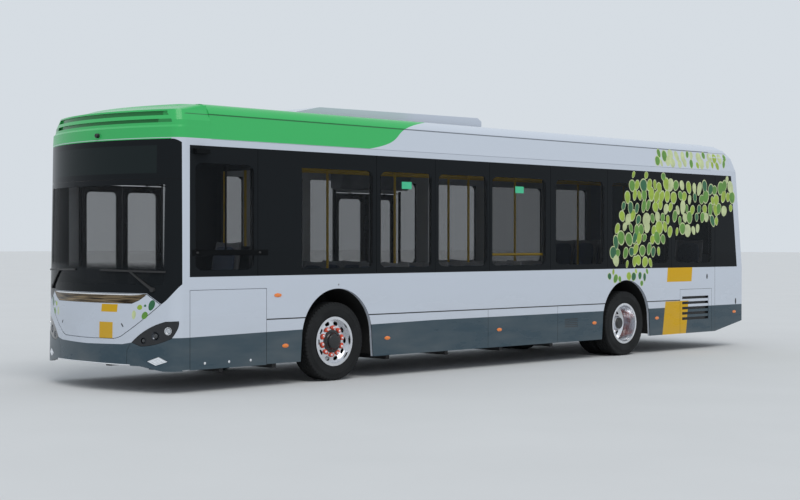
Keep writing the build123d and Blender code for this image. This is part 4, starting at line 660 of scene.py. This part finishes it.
# %% Strips and domes on a face
def strip(face, path, section):
    """Bar on a face: a section of (along, across, out) offsets along a path of (along, across)."""
    first, second = np.asarray(path, float).T[:2]
    da, db, out = section
    ends = [face(first[k] + da * 0, second[k] + db * 0, out.mean())[None] for k in (0, -1)]
    return np.concatenate([ends[0], face(first[:, None] + da, second[:, None] + db, out), ends[1]])


def dome(face, spots, height, rings=(0.0, 0.5, 0.85, 1.0), count=24, egg=0.0):
    """Low closed domes from (along, across, half length, half width, turn). The height falls as
    1 - 0.8 r squared from the middle to the rim, and the back lies 1 mm inside the face. With an
    egg number over 0 one end is broader."""
    along, across, long, wide, turn = np.asarray(spots, float).T[:, :, None, None]
    scale = np.concatenate([rings, rings[::-1]])[:, None]
    rise = np.concatenate([height * (1 - 0.8 * np.square(rings)), np.full(len(rings), -0.001)])[:, None]
    turns = around(count)
    long = long * scale * np.cos(turns)
    wide = wide * scale * np.sin(turns) * (1 + egg * np.cos(turns))
    along = along + long * np.cos(turn) - wide * np.sin(turn)
    return face(along, across + long * np.sin(turn) + wide * np.cos(turn), rise)

# %% [markdown]
# ## Tyres
# A bus tyre has four zigzag grooves, slots in each shoulder and a low rib at its widest place. They
# could be cut with booleans. Here the section is swept round the wheel, and slots and zigzag are
# small changes of its radius and width by angle, which is lighter.

# %% Section of a tyre
# Half section from the bead to the middle. Sidewall: (half width, radius)
SIDEWALL = (
    (0.112, 0.2865), (0.119, 0.29), (0.12, 0.3035), (0.118, 0.308), (0.1215, 0.311), (0.129, 0.335),
    (0.135, 0.365), (0.1365, 0.39), (0.1385, 0.393), (0.1385, 0.399), (0.136, 0.402), (0.133, 0.423),
    (0.129, 0.44))
# Shoulder: (half width, radius, depth of the slots)
SHOULDER = (
    (0.13, 0.443, 0.001), (0.1285, 0.46, 0.006), (0.125, 0.472, 0.01), (0.118, 0.4785, 0.012),
    (0.1, 0.4805, 0.01), (0.096, 0.4807, 0))
# Tread: (half width, radius, no slots, share of the zigzag)
TREAD = (
    (0.076, 0.4812, 0, 1), (0.074, 0.469, 0, 1), (0.066, 0.469, 0, 1), (0.064, 0.4814, 0, 1),
    (0.036, 0.4818, 0, 1), (0.034, 0.469, 0, 1), (0.026, 0.469, 0, 1), (0.024, 0.482, 0, 1))
half_tyre = np.array([row + (0,) * (4 - len(row)) for row in SIDEWALL + SHOULDER + TREAD])
SLOTS, ZIGZAG = 60, 0.003
SLOT_STEPS, SLOT_CUT = np.array([0.0, 0.04, 0.2, 0.24, 0.62]), np.array([0.0, 1.0, 1.0, 0.0, 0.0])
AXLE_Y, AXLE_Z = {"front": -3.22, "rear": 2.73}, 0.482
TYRES_X = {"front": (1.09,), "rear": (1.108, 0.797)}
print("tyre section of", 2 * len(half_tyre), "points")

# %% Treaded tyres
def tyre(centre_x, axle_y):
    """Tyre skin: radius less the slot depth, and half width plus a zigzag, by angle."""
    section = np.concatenate([half_tyre, half_tyre[::-1] * (-1, 1, 1, 1)])
    width, radius, cut, zigzag = section.T[:, :, None]
    turns = 2 * np.pi * (np.arange(SLOTS)[:, None] + SLOT_STEPS).ravel() / SLOTS
    wave = ZIGZAG * (2 * np.abs((turns * SLOTS / (4 * np.pi)) % 1.0 * 2 - 1) - 1)
    reach = radius - cut * np.tile(SLOT_CUT, SLOTS)
    across = centre_x + width + zigzag * wave
    return points(across, axle_y + reach * np.cos(turns), AXLE_Z + reach * np.sin(turns))


for side, hand in SIDES:
    for end, names in (("front", "tyre_front"), ("rear", "tyres_rear")):
        tyres = Skin()
        for x in TYRES_X[end]:
            tyres.add(tyre(side * x, AXLE_Y[end]), ring=True)
        replaced = f"{end}_{names.split('_')[0]}_{hand}"
        tyres.make(f"treaded_{names}_{hand}", f"{end}_wheel_{hand}", [rubber], "tyre", 0.45, [replaced])

# %% [markdown]
# ## Wheel nuts, markers and hub caps
# Ten nuts hold each wheel, and an orange marker clips over each to show whether it has turned. A nut
# is a round washer that turns into a hexagon, whose radius is its half width over the cosine of the
# angle from the middle of its side. They could be forty objects. One grid copied to ten places
# gives a wheel's nuts as one piece.

# %% Profiles of nuts, markers and caps
NUTS = 10
# (distance outwards, radius, share of hexagon) along one nut, then (distance, scale) along a marker
NUT_ROWS = np.array([
    (0, 0, 0), (0, 0.0235, 0), (0.003, 0.0235, 0), (0.0035, 0.0205, 0), (0.0045, 0.0165, 1),
    (0.022, 0.0165, 1), (0.026, 0.015, 0.3), (0.0265, 0.011, 0), (0.034, 0.0105, 0), (0.035, 0, 0)])
MARKER_ROWS = (
    (0.004, 0), (0.004, 1), (0.018, 1), (0.021, 0.94), (0.0245, 0.76), (0.0255, 0.66), (0.0255, 0))
MARKER_RADIUS, MARKER_TIP = 0.0275, 0.019
NUT_CIRCLE = {"front": 0.1675, "rear": 0.15}
HUB_X = {end: sum(places) / len(places) for end, places in TYRES_X.items()}
NUT_SEAT = {"front": 0.074, "rear": 0.014}
# (distance outwards, radius)
CAP_ROWS = {
    "front": (
        (0.07, 0), (0.07, 0.14), (0.0795, 0.142), (0.088, 0.141), (0.09, 0.136), (0.0905, 0.112),
        (0.098, 0.108), (0.104, 0.1), (0.124, 0.091), (0.132, 0.08), (0.134, 0.064), (0.133, 0)),
    "rear": (
        (0.1775, 0), (0.1775, 0.086), (0.186, 0.087), (0.19, 0.082), (0.19, 0.062), (0.196, 0.058),
        (0.197, 0)),
}
orange_plastic = grained("orange_plastic", (0.66, 0.06, 0.018), 0.4, 300.0, 0.0002, 0.2, Coat_Weight=0.2)
turns = around(24)
hexagon = 1 / np.cos((turns + np.pi / 6) % (np.pi / 3) - np.pi / 6)
nut = turned(NUT_ROWS, turns, 1 + NUT_ROWS[:, 2, None] * (hexagon - 1))
marker = turned(MARKER_ROWS, turns, MARKER_RADIUS + MARKER_TIP * np.maximum(np.sin(turns), 0) ** 5)
print("nut", nut.shape, "marker", marker.shape)

# %% Nuts, markers, caps
for end, axle_y in AXLE_Y.items():
    for side, hand in SIDES:
        spokes = around(NUTS, 0.2)
        outwards = points(0.0, np.cos(spokes), np.sin(spokes))
        axle = np.broadcast_to([side, 0.0, 0.0], outwards.shape)
        frames = np.stack([axle, outwards, np.cross(axle, outwards)], axis=1)
        nut_seats = outwards * NUT_CIRCLE[end] + (side * (HUB_X[end] + NUT_SEAT[end]), axle_y, AXLE_Z)
        body, place = f"{end}_wheel_{hand}", f"{end}_{hand}"
        Skin().add(placed(nut, nut_seats, frames)).make(f"wheel_nuts_{place}", body, [chrome], "aluminium")
        Skin().add(placed(marker, nut_seats, frames)).make(
            f"nut_markers_{place}", body, [orange_plastic], "amber_plastic")
        cap = placed(turned(CAP_ROWS[end], around(72)), [(side * HUB_X[end], axle_y, AXLE_Z)], frames[:1])
        Skin().add(cap).make(f"hub_cap_{place}", body, [black_gloss], "black_plastic", 0.5)

# %% [markdown]
# ## Head lamps and daylight lamps
# Each round unit is a bezel and bowl sunk in its well, with a lens in the middle, turned as on a
# lathe. The daylight lamp in the bumper is a cut-glass diamond. Bump would sparkle from afar only,
# so its facets are real.

# %% Lamp units
# (x, z, well radius, slot: 0 bright, 1 smoked)
LAMP_UNITS = ((1.18, 0.706, 0.046, 0), (1.036, 0.648, 0.052, 1), (0.886, 0.592, 0.04, 1))
WELL_DEPTH, WELL_ROOM = 0.0238, 0.0015
smoked_chrome = clouded(
    "smoked_chrome", 40.0, (0.05, 0.055, 0.065), (0.13, 0.14, 0.16), Metallic=1.0, Roughness=0.18)
clear_lens = clouded(
    "clear_lens", 50.0, (0.45, 0.48, 0.52), (0.75, 0.78, 0.82), Roughness=0.03, Alpha=0.55, Coat_Weight=1.0)
smoked_lens = clouded(
    "smoked_lens", 50.0, (0.012, 0.013, 0.015), (0.045, 0.05, 0.055), Roughness=0.05, Coat_Weight=0.6)


def lamp_profiles(radius):
    """(out, radius) profiles of one unit's bezel with its bowl, and of its lens."""
    edge = radius - WELL_ROOM
    bezel = (
        (-WELL_DEPTH, 0.0), (-WELL_DEPTH, edge), (-0.003, edge), (0.0, edge - 0.001), (0.0, edge - 0.005),
        (-0.004, edge - 0.007), (-0.01, edge * 0.78), (-0.017, edge * 0.6), (-0.021, edge * 0.4),
        (-0.022, 0))
    lens = (
        (-0.021, 0.0), (-0.02, edge * 0.52), (-0.012, edge * 0.56), (-0.006, edge * 0.5),
        (-0.002, edge * 0.3), (-0.001, 0.0))
    return bezel, lens


def nose_frame(x, z):
    """Origin on the nose at (x, z) and a frame whose first axis points outwards."""
    origin = nose_face(x, z)
    outwards = nose_face(x, z, 1.0) - origin
    level = np.array([-outwards[1], outwards[0], 0.0])
    return origin[None], np.stack([outwards, level, np.cross(outwards, level)])[None]


bowls, lenses = Skin(), Skin()
for side, _ in SIDES:
    for x, z, radius, slot in LAMP_UNITS:
        for skin, profile in zip((bowls, lenses), lamp_profiles(radius)):
            skin.add(placed(turned(profile, around(48)), *nose_frame(side * x, z)), slot=slot)
bowls.make("lamp_bowls", "root", [chrome, smoked_chrome], "lamp_glass")
lenses.make("lamp_lenses", "root", [clear_lens, smoked_lens], "lamp_glass")

# %% Daylight lamps
# Diamond corners as (x, z) from the inner tip round the top, and rings as (scale, out)
DAYLIGHT = np.array([(0.931, 0.364), (1.078, 0.42), (1.188, 0.366), (1.042, 0.316)])
DAYLIGHT_RINGS = np.array([
    (0, -0.001), (0.3, -0.005), (0.52, -0.001), (0.74, -0.006), (0.93, -0.002), (0.95, -0.0098),
    (0, -0.0098)])
pearl = clouded(
    "pearl_facets", 60.0, (0.6, 0.63, 0.68), (0.9, 0.92, 0.95),
    Roughness=0.12, Metallic=0.35, Coat_Weight=1.0)
between = (DAYLIGHT + np.roll(DAYLIGHT, -1, axis=0)) / 2
rim = np.stack([DAYLIGHT, between], axis=1).reshape(-1, 2)
middle = DAYLIGHT.mean(axis=0)
rings = middle + DAYLIGHT_RINGS[:, 0, None, None] * (rim - middle)
daylight = Skin()
for side, _ in SIDES:
    daylight.add(nose_face(side * rings[..., 0], rings[..., 1], DAYLIGHT_RINGS[:, 1, None]))
daylight.make("daylight_lamps", "root", [pearl], "lamp_glass", 0.1)

# %% [markdown]
# ## Nose trim
# A bronze-coloured plate with a bright lip fills the recess at the top of the front flap, a pale strip
# edges the bumper's foot, and small locks hold the flaps. Flat decals could show them. Each bar is
# swept along the nose instead, because a profile has an edge that catches the light.

# %% Garnish and its lip
GARNISH_LOW = np.array([(0.0, 1.008), (0.728, 1.008), (0.818, 1.044), (0.893, 1.092), (0.918, 1.106)])
GARNISH_END, GARNISH_TOP = GARNISH_LOW[-1, 0], 1.1135
# Sections as (share of the height, out)
PLATE = (
    (0, -0.0058), (0, -0.001), (0.08, 0.0005), (0.2, -0.0015), (0.5, -0.0035), (0.84, -0.001),
    (0.84, -0.0058))
LIP = (
    (0.84, -0.0058), (0.84, 0.002), (0.88, 0.006), (0.94, 0.0075), (0.99, 0.006), (1, 0.001), (1, -0.0058))
bronze = Finish("bronze_plate", Metallic=0.9)
streak = bronze.noise(7.0, 4.0, (0.35, 1.0, 9.0)).ramp(0.35, 0.65)
bronze.set(Base_Color=bronze.mix(streak, (0.018, 0.013, 0.009), (0.26, 0.19, 0.11)))
bronze.set(Roughness=streak.ramp(0.2, 0.8, 0.12, 0.3))


def garnish(section):
    """Bar between the lower edge of the recess and its top: z = low + share * (top - low)."""
    x = np.linspace(-GARNISH_END, GARNISH_END, 97)[:, None]
    low = np.interp(np.abs(x), *GARNISH_LOW.T)
    share, out = np.asarray(section, float).T
    return capped(nose_face(x, low + share * (GARNISH_TOP - low), out))


Skin().add(garnish(PLATE)).make("nose_garnish", "front_flap", [bronze], "aluminium", 0.7)
Skin().add(garnish(LIP)).make("garnish_lip", "front_flap", [chrome], "aluminium", 0.9)

# %% Bumper lip and locks
LIP_END, LIP_Z, LIP_DROP = 0.72, 0.3195, 0.006 / 0.85
# Locks of the service flap as (y, z); locks of the front flap as (x, z, half length, half width, turn)
FLAP_LOCKS = ((-5.276, 0.33), (-4.925, 0.33), (-4.605, 0.33))
NOSE_LOCKS = ((0.6, 0.76, 0.026, 0.008, -0.9), (-0.6, 0.76, 0.026, 0.008, 0.9))
lip_x = np.linspace(-LIP_END, LIP_END, 61)
lip_path = np.stack([lip_x, LIP_Z - LIP_DROP * np.abs(lip_x)], axis=-1)
tall, thick = oval(0.014, 0.012)
Skin().add(strip(nose_face, lip_path, (0 * tall, tall, thick))).make(
    "bumper_lip", "root", [chrome], "aluminium", 0.9)
locks = dome(side_face(1), [(y, z, 0.0155, 0.0155, 0.0) for y, z in FLAP_LOCKS], 0.002)
Skin().add(locks).make("service_flap_locks", "service_flap", [chrome], "aluminium")
Skin().add(dome(nose_face, NOSE_LOCKS, 0.004)).make(
    "front_flap_locks", "front_flap", [black_plastic], "black_plastic")

# %% [markdown]
# ## Small parts of the sides
# Marker lamps have domed oval lenses, a plug sits above each front arch, small locks hold the rear
# panels, and a round camera looks down from the roof cap. Spheres could be squashed and sunk in the
# wall. The dome function gives that shape with a flat back.

# %% Marker lenses, plug, locks and camera
LENSES_BOTH = ((-2.36, 0.488), (1.938, 0.519), (3.518, 0.535), (5.7, 0.566))
LENSES_LEFT = ((-4.19, 1.073), (-4.07, 0.472), (-0.193, 0.506))
PLUG = (-3.205, 1.18, 0.012, 0.012, 0.0)
PANEL_LOCKS = ((4.899, 1.156, 0.042, 0.018, 1.57), (5.742, 0.738, 0.05, 0.019, 1.57))
CAMERA_X, CAMERA_RISE = 0.165, 0.055
CAMERA_ROWS = (
    (-0.03, 0), (-0.03, 0.026), (0.03, 0.026), (0.038, 0.022), (0.04, 0.016), (0.036, 0.014), (0.04, 0))
marker_lenses, side_plugs, side_locks = Skin(), Skin(), Skin()
for side, _ in SIDES:
    lenses_at = sorted(LENSES_BOTH + (LENSES_LEFT if side == 1 else ()))
    lens_spots = [(y, z, 0.05, 0.024, 0.0) for y, z in lenses_at]
    marker_lenses.add(dome(side_face(side), lens_spots, 0.01, (0.0, 0.4, 0.75, 0.93, 1.0), 32))
    side_plugs.add(dome(side_face(side), [PLUG], 0.003))
    side_locks.add(dome(side_face(side), PANEL_LOCKS, 0.006))
marker_lenses.make("marker_lenses", "root", [amber], "amber_plastic")
side_plugs.make("side_plugs", "root", [grey_plastic], "grey_plastic")
side_locks.make("side_locks", "root", [black_plastic], "black_plastic")
origin, frame_at = nose_frame(CAMERA_X, WALL_TOP_Z)
camera_body = placed(turned(CAMERA_ROWS, around(32)), origin + (0.0, 0.0, CAMERA_RISE), frame_at)
Skin().add(camera_body).make("cap_camera", "root", [black_gloss], "black_plastic")

# %% [markdown]
# ## Side windows
# The driver's window slides behind a bar with two latches. Two blank green plates sit high on the
# glass, and a yellow rail crosses the wheelchair bay inside. They could be curves with a bevel. As
# strips they need no conversion.

# %% Window bars, latches, plates and rail
# Paths as (y, z), and spots as (y, z, half length, half width, turn)
BAR, UPRIGHT = ((-5.455, 1.578), (-4.345, 1.578)), ((-4.975, 1.61), (-4.975, 2.56))
LATCHES = ((-5.384, 1.578, 0.02, 0.014, 0.0), (-4.468, 1.578, 0.02, 0.014, 0.0))
PLATES_Y, PLATE_Z, PLATE_HALF = (-2.012, 0.229), 2.425, 0.09
RAIL_PATH = ((1.225, -0.32), (1.175, -0.29), (1.16, -0.24), (1.16, 0.7), (1.175, 0.75), (1.225, 0.78))
RAIL_Z, RAIL_RADIUS = 1.53, 0.017
driver_side = side_face(1)
wide, thick = oval(0.066, 0.01)
narrow, thin = oval(0.026, 0.008)
bars = Skin().add(strip(driver_side, BAR, (0 * wide, wide, thick)))
bars.add(strip(driver_side, UPRIGHT, (narrow, 0 * narrow, thin)))
bars.make("driver_window_bars", "root", [dull_black], "black_plastic")
Skin().add(dome(driver_side, LATCHES, 0.016)).make(
    "driver_window_latches", "root", [black_plastic], "black_plastic")
exit_green = clouded("exit_plate", 30.0, (0.03, 0.42, 0.2), (0.06, 0.55, 0.3), Roughness=0.35)
plate_wide, plate_thin = oval(0.092, 0.0012, 16, 0.15)
plate_section = (0 * plate_wide, plate_wide, plate_thin + 0.0006)
plates = Skin()
for y in PLATES_Y:
    plates.add(strip(driver_side, [(y - PLATE_HALF, PLATE_Z), (y + PLATE_HALF, PLATE_Z)], plate_section))
plates.make("exit_plates", "root", [exit_green], "grey_plastic")
turns = around(16)
rail_section = (RAIL_RADIUS * np.cos(turns), 0 * turns, RAIL_RADIUS * np.sin(turns))
Skin().add(strip(level_face(RAIL_Z), RAIL_PATH, rail_section)).make(
    "bay_rail", "root", [yellow_coat], "yellow_paint")

# %% [markdown]
# ## Seats
# Each seat is a moulded shell with a padded cushion and back. The pads could be inflated cloth. Seen
# through tinted glass a formula is enough: a squared-off oval whose edge rolls under.

# %% Seat pads
PAIR, BOTH = (1.0, 0.545), (1.0, 0.545, -1.0, -0.545)
# (y, floor z, x of each seat)
SEAT_ROWS = (
    (-2.06, 0.34, BOTH), (-1.31, 0.34, BOTH), (-0.56, 0.34, PAIR), (0.19, 0.34, PAIR), (0.94, 0.34, BOTH),
    (3.98, 0.64, BOTH), (4.72, 0.64, BOTH))
DRIVER_SEAT = (0.72, -4.62, 0.6)
# Pads as (size, tilt, centre from the seat's foot)
CUSHION = ((0.42, 0.4, 0.075), 0.04, (0.0, -0.2, 0.44))
BACK = ((0.4, 0.56, 0.06), 1.43, (0.0, 0.045, 0.77))
seat_feet = np.array([(x, y, z) for y, z, columns in SEAT_ROWS for x in columns] + [DRIVER_SEAT])
upright = np.broadcast_to(np.eye(3), (len(seat_feet), 3, 3))
moquette = Finish("moquette", Roughness=0.95, Sheen_Weight=0.5)
weave = moquette.noise(160.0, 1.0).above(0.52, 0.05)
moquette.set(Base_Color=moquette.mix(weave, (0.03, 0.045, 0.085), (0.1, 0.13, 0.2)))
moquette.relief(moquette.noise(700.0, 1.0), 0.4, 0.001)


def pad(size, tilt, centre):
    """Crowned cushion: plan cos t and sin t squared off, and a crown as 1 - 0.18 r squared."""
    levels = np.linspace(-np.pi / 2, np.pi / 2, 12)[:, None]
    turns = around(32)
    plan = np.abs(np.cos(levels)) ** 0.45
    x = size[0] / 2 * plan * squared_off(np.cos(turns), 0.4)
    y = size[1] / 2 * plan * squared_off(np.sin(turns), 0.4)
    crown = 1.0 - 0.18 * ((x / size[0] * 2) ** 2 + (y / size[1] * 2) ** 2)
    z = size[2] / 2 * squared_off(np.sin(levels), 0.6) * crown
    cosine, sine = np.cos(tilt), np.sin(tilt)
    return points(x, y * cosine - z * sine, y * sine + z * cosine) + centre


cushions = Skin().add(placed(pad(*CUSHION), seat_feet, upright)).make(
    "seat_cushions", "root", [moquette], "seat_fabric", 1.2, ["seats"])
backs = Skin().add(placed(pad(*BACK), seat_feet, upright)).make(
    "seat_backs", "root", [moquette], "seat_fabric", 1.2)

# %% Seat shells
# Shell in side view, as (y, z) from the seat's foot, outer face then inner face
SHELL_OUTER = np.array([
    (-0.43, 0.405), (-0.395, 0.385), (-0.02, 0.375), (0.045, 0.405), (0.08, 0.47), (0.165, 1.06),
    (0.15, 1.085)])
SHELL_INNER = np.array([
    (-0.425, 0.425), (-0.39, 0.408), (-0.03, 0.398), (0.02, 0.425), (0.052, 0.48), (0.135, 1.06),
    (0.15, 1.085)])
SHELL_HALF, DISH = 0.22, 0.018


def shell_rows(outer, inner, x):
    """Sections at each x, out along one face and back along the other; the dish rises as x squared.
    With one line for both faces a row closes the shell's side."""
    loop = np.concatenate([outer, inner[::-1][1:]])
    dish = DISH * (x[:, None] / SHELL_HALF) ** 2
    return points(x[:, None], loop[:, 0] - 0.5 * dish, loop[:, 1] + dish)


shell_x = np.linspace(-SHELL_HALF, SHELL_HALF, 13)
centre_line = [(SHELL_OUTER + SHELL_INNER) / 2] * 2
shell = np.concatenate([
    shell_rows(*centre_line, shell_x[:1]), shell_rows(SHELL_OUTER, SHELL_INNER, shell_x),
    shell_rows(*centre_line, shell_x[-1:])])
Skin().add(placed(shell, seat_feet, upright)).make("seat_shells", "root", [grey_plastic], "grey_plastic", 0.8)

# %% [markdown]
# ## Roof fans
# Each fan well in the cooling unit has a wire guard over its mouth. An image of a grille would look
# flat from above, so the five rings are thin tori and the eight spokes thin rods.

# %% Fan guards
FANS_Y = (-2.5, -1.7, -0.9)
# The unit's lid as (y, z) at its front and its rear
LID_FRONT, LID_REAR, GUARD_GAP = (-3.09, 3.387), (-0.11, 3.424), 0.001
RING_RADII, WIRE_RADIUS = (0.07, 0.12, 0.17, 0.22, 0.268), 0.0035
SPOKE_ROWS = ((0.06, 0.0), (0.06, 0.003), (0.272, 0.003), (0.272, 0.0))
guard_turns, wire = around(64), around(8)
spoke = turned(SPOKE_ROWS, wire)
directions = points(np.cos(wire), np.sin(wire), 0.0)
up = np.broadcast_to([0.0, 0.0, 1.0], directions.shape)
frames = np.stack([directions, np.cross(up, directions), up], axis=1)
guards = Skin()
for y in FANS_Y:
    guard_z = np.interp(y, *zip(LID_FRONT, LID_REAR)) + GUARD_GAP
    for radius in RING_RADII:
        tube = radius + WIRE_RADIUS * np.cos(wire)[:, None]
        ring_x, ring_y = tube * np.cos(guard_turns), y + tube * np.sin(guard_turns)
        guards.add(level_face(guard_z)(ring_x, ring_y, WIRE_RADIUS * np.sin(wire)[:, None]), ring=True)
    guards.add(placed(spoke, np.broadcast_to([0.0, y, guard_z], (len(wire), 3)), frames))
guards.make("fan_guards", "root", [black_plastic], "black_plastic")

# %% [markdown]
# ## Green ovals
# Thin oval films in four greens drift over the rear of the glass band, the roof side above it, the
# panel over the rear wheel and the nose. Each could be placed by hand. A jittered grid from a fixed
# seed spreads them evenly, and a rule on their size keeps them inside the panel's edges.

# %% Greens and edges of the films
FILM_COLOURS = ((0.012, 0.13, 0.045), (0.11, 0.29, 0.03), (0.33, 0.48, 0.035), (0.56, 0.64, 0.33))
FILM_RINGS, FILM_THICK, FILM_EGG = (0.0, 0.5, 0.84, 1.0), 0.0009, 0.12
RIM = len(FILM_COLOURS) - 1
# The drift on the glass lies over one edge, given as y and z, and behind the other, as z and y
LOW_EDGE = ((2.3, 3.3, 3.7, 4.4, 5.15, 5.8), (1.3, 1.3, 1.7, 1.86, 2.03, 2.38))
FRONT_EDGE = ((1.32, 1.73, 2.26, 2.72), (2.33, 2.31, 2.66, 2.88))
films = []
for number, colour in enumerate(FILM_COLOURS):
    film = Finish(f"film_{number}", Roughness=0.3)
    shade = film.noise(9.0).ramp(0.3, 0.7)
    film.set(Base_Color=film.mix(shade, tuple(0.7 * channel for channel in colour), colour))
    films.append(film)
generator = np.random.default_rng(7)
print("films:", len(films))

# %% Oval films of the sides
def drift(low_y, high_y, low_z, high_z, step, size, room):
    """Jittered grid of ovals as (y, z, half height, half width, turn). Room(y, z), the distance to
    the edge, limits the half height, and an oval with less than half of it is left out."""
    y, z = np.meshgrid(np.arange(low_y, high_y, step[0]), np.arange(low_z, high_z, step[1]), indexing="ij")
    y = y + (np.arange(y.shape[1]) % 2) * step[0] / 2
    y, z = y.ravel(), z.ravel()
    shift = generator.uniform(-0.24, 0.24, (len(y), 2)) * step
    y, z = y + shift[:, 0], z + shift[:, 1]
    tall = np.minimum(size * generator.uniform(0.55, 1.0, len(y)), room(y, z))
    wide = tall * generator.uniform(0.52, 0.92, len(y))
    turn = np.pi / 2 + generator.uniform(-0.5, 0.5, len(y))
    return np.stack([y, z, tall, wide, turn], axis=-1)[tall > 0.5 * size]


def least(low_y, high_y, low_z, high_z, *more):
    """Room inside a rectangle: the least distance to its sides or to other edges."""
    return lambda y, z: np.minimum.reduce([
        y - low_y, high_y - y, z - low_z, high_z - z, *(rule(y, z) for rule in more)])


OPEN = -np.inf
glass_room = least(
    OPEN, 5.75, 1.31, 2.782, lambda y, z: z - np.interp(y, *LOW_EDGE) + 0.07,
    lambda y, z: y - np.interp(z, *FRONT_EDGE) + 0.07)
panel_room = least(2.2, 3.34, 1.0, 1.305, lambda y, z: np.hypot(y - 2.73, z - 0.545) - 0.58)
roof_room = least(OPEN, 5.6, 2.862, 3.15)


def paste(skin, face, spots, shades):
    """Add films of random shades to a skin. The outermost ring of each has the pale shade."""
    chosen = generator.choice(shades, len(spots))
    for number in range(len(films)):
        if np.any(chosen == number):
            strips = (number, number, RIM, RIM, number, number, number)
            here = dome(face, spots[chosen == number], FILM_THICK, FILM_RINGS, 20, FILM_EGG)
            skin.add(here, slot=strips)


# On the door side the drift starts behind the last window
for (side, hand), first_y in zip(SIDES, (2.3, 5.15)):
    ovals = Skin()
    glass_spots = drift(first_y, 5.72, 1.4, 2.76, (0.152, 0.168), 0.118, glass_room)
    paste(ovals, side_face(side), glass_spots, (0, 1, 1, 2, 2, 3))
    panel_spots = drift(2.25, 3.35, 1.06, 1.3, (0.125, 0.11), 0.078, panel_room)
    paste(ovals, side_face(side), panel_spots, (0, 1, 1, 2))
    roof_spots = drift(3.52, 5.6, 2.95, 3.1, (0.155, 0.112), 0.1, roof_room)
    paste(ovals, fairing_face(side), roof_spots, (1, 2, 3, 3))
    ovals.make(f"oval_films_{hand}", "root", films, "body_paint")

# %% Oval films of the nose
# (x, z, half length, half width, turn, shade)
NOSE_OVALS = (
    (0.985, 0.99, 0.062, 0.036, 1.2, 0), (0.835, 0.965, 0.034, 0.028, 0.3, 2),
    (0.76, 0.88, 0.05, 0.026, 1.5, 3), (0.9, 0.875, 0.046, 0.034, 0.9, 1),
    (0.905, 0.985, 0.016, 0.013, 0.5, 0))
nose_films = Skin()
for side, _ in SIDES:
    for x, z, long, wide, turn, shade in NOSE_OVALS:
        spot = (side * x, z, long, wide, side * turn)
        nose_films.add(dome(nose_face, [spot], FILM_THICK, (0.0, 0.6, 1.0), 20, FILM_EGG), slot=shade)
nose_films.make("nose_films", "front_flap", films, "body_paint")
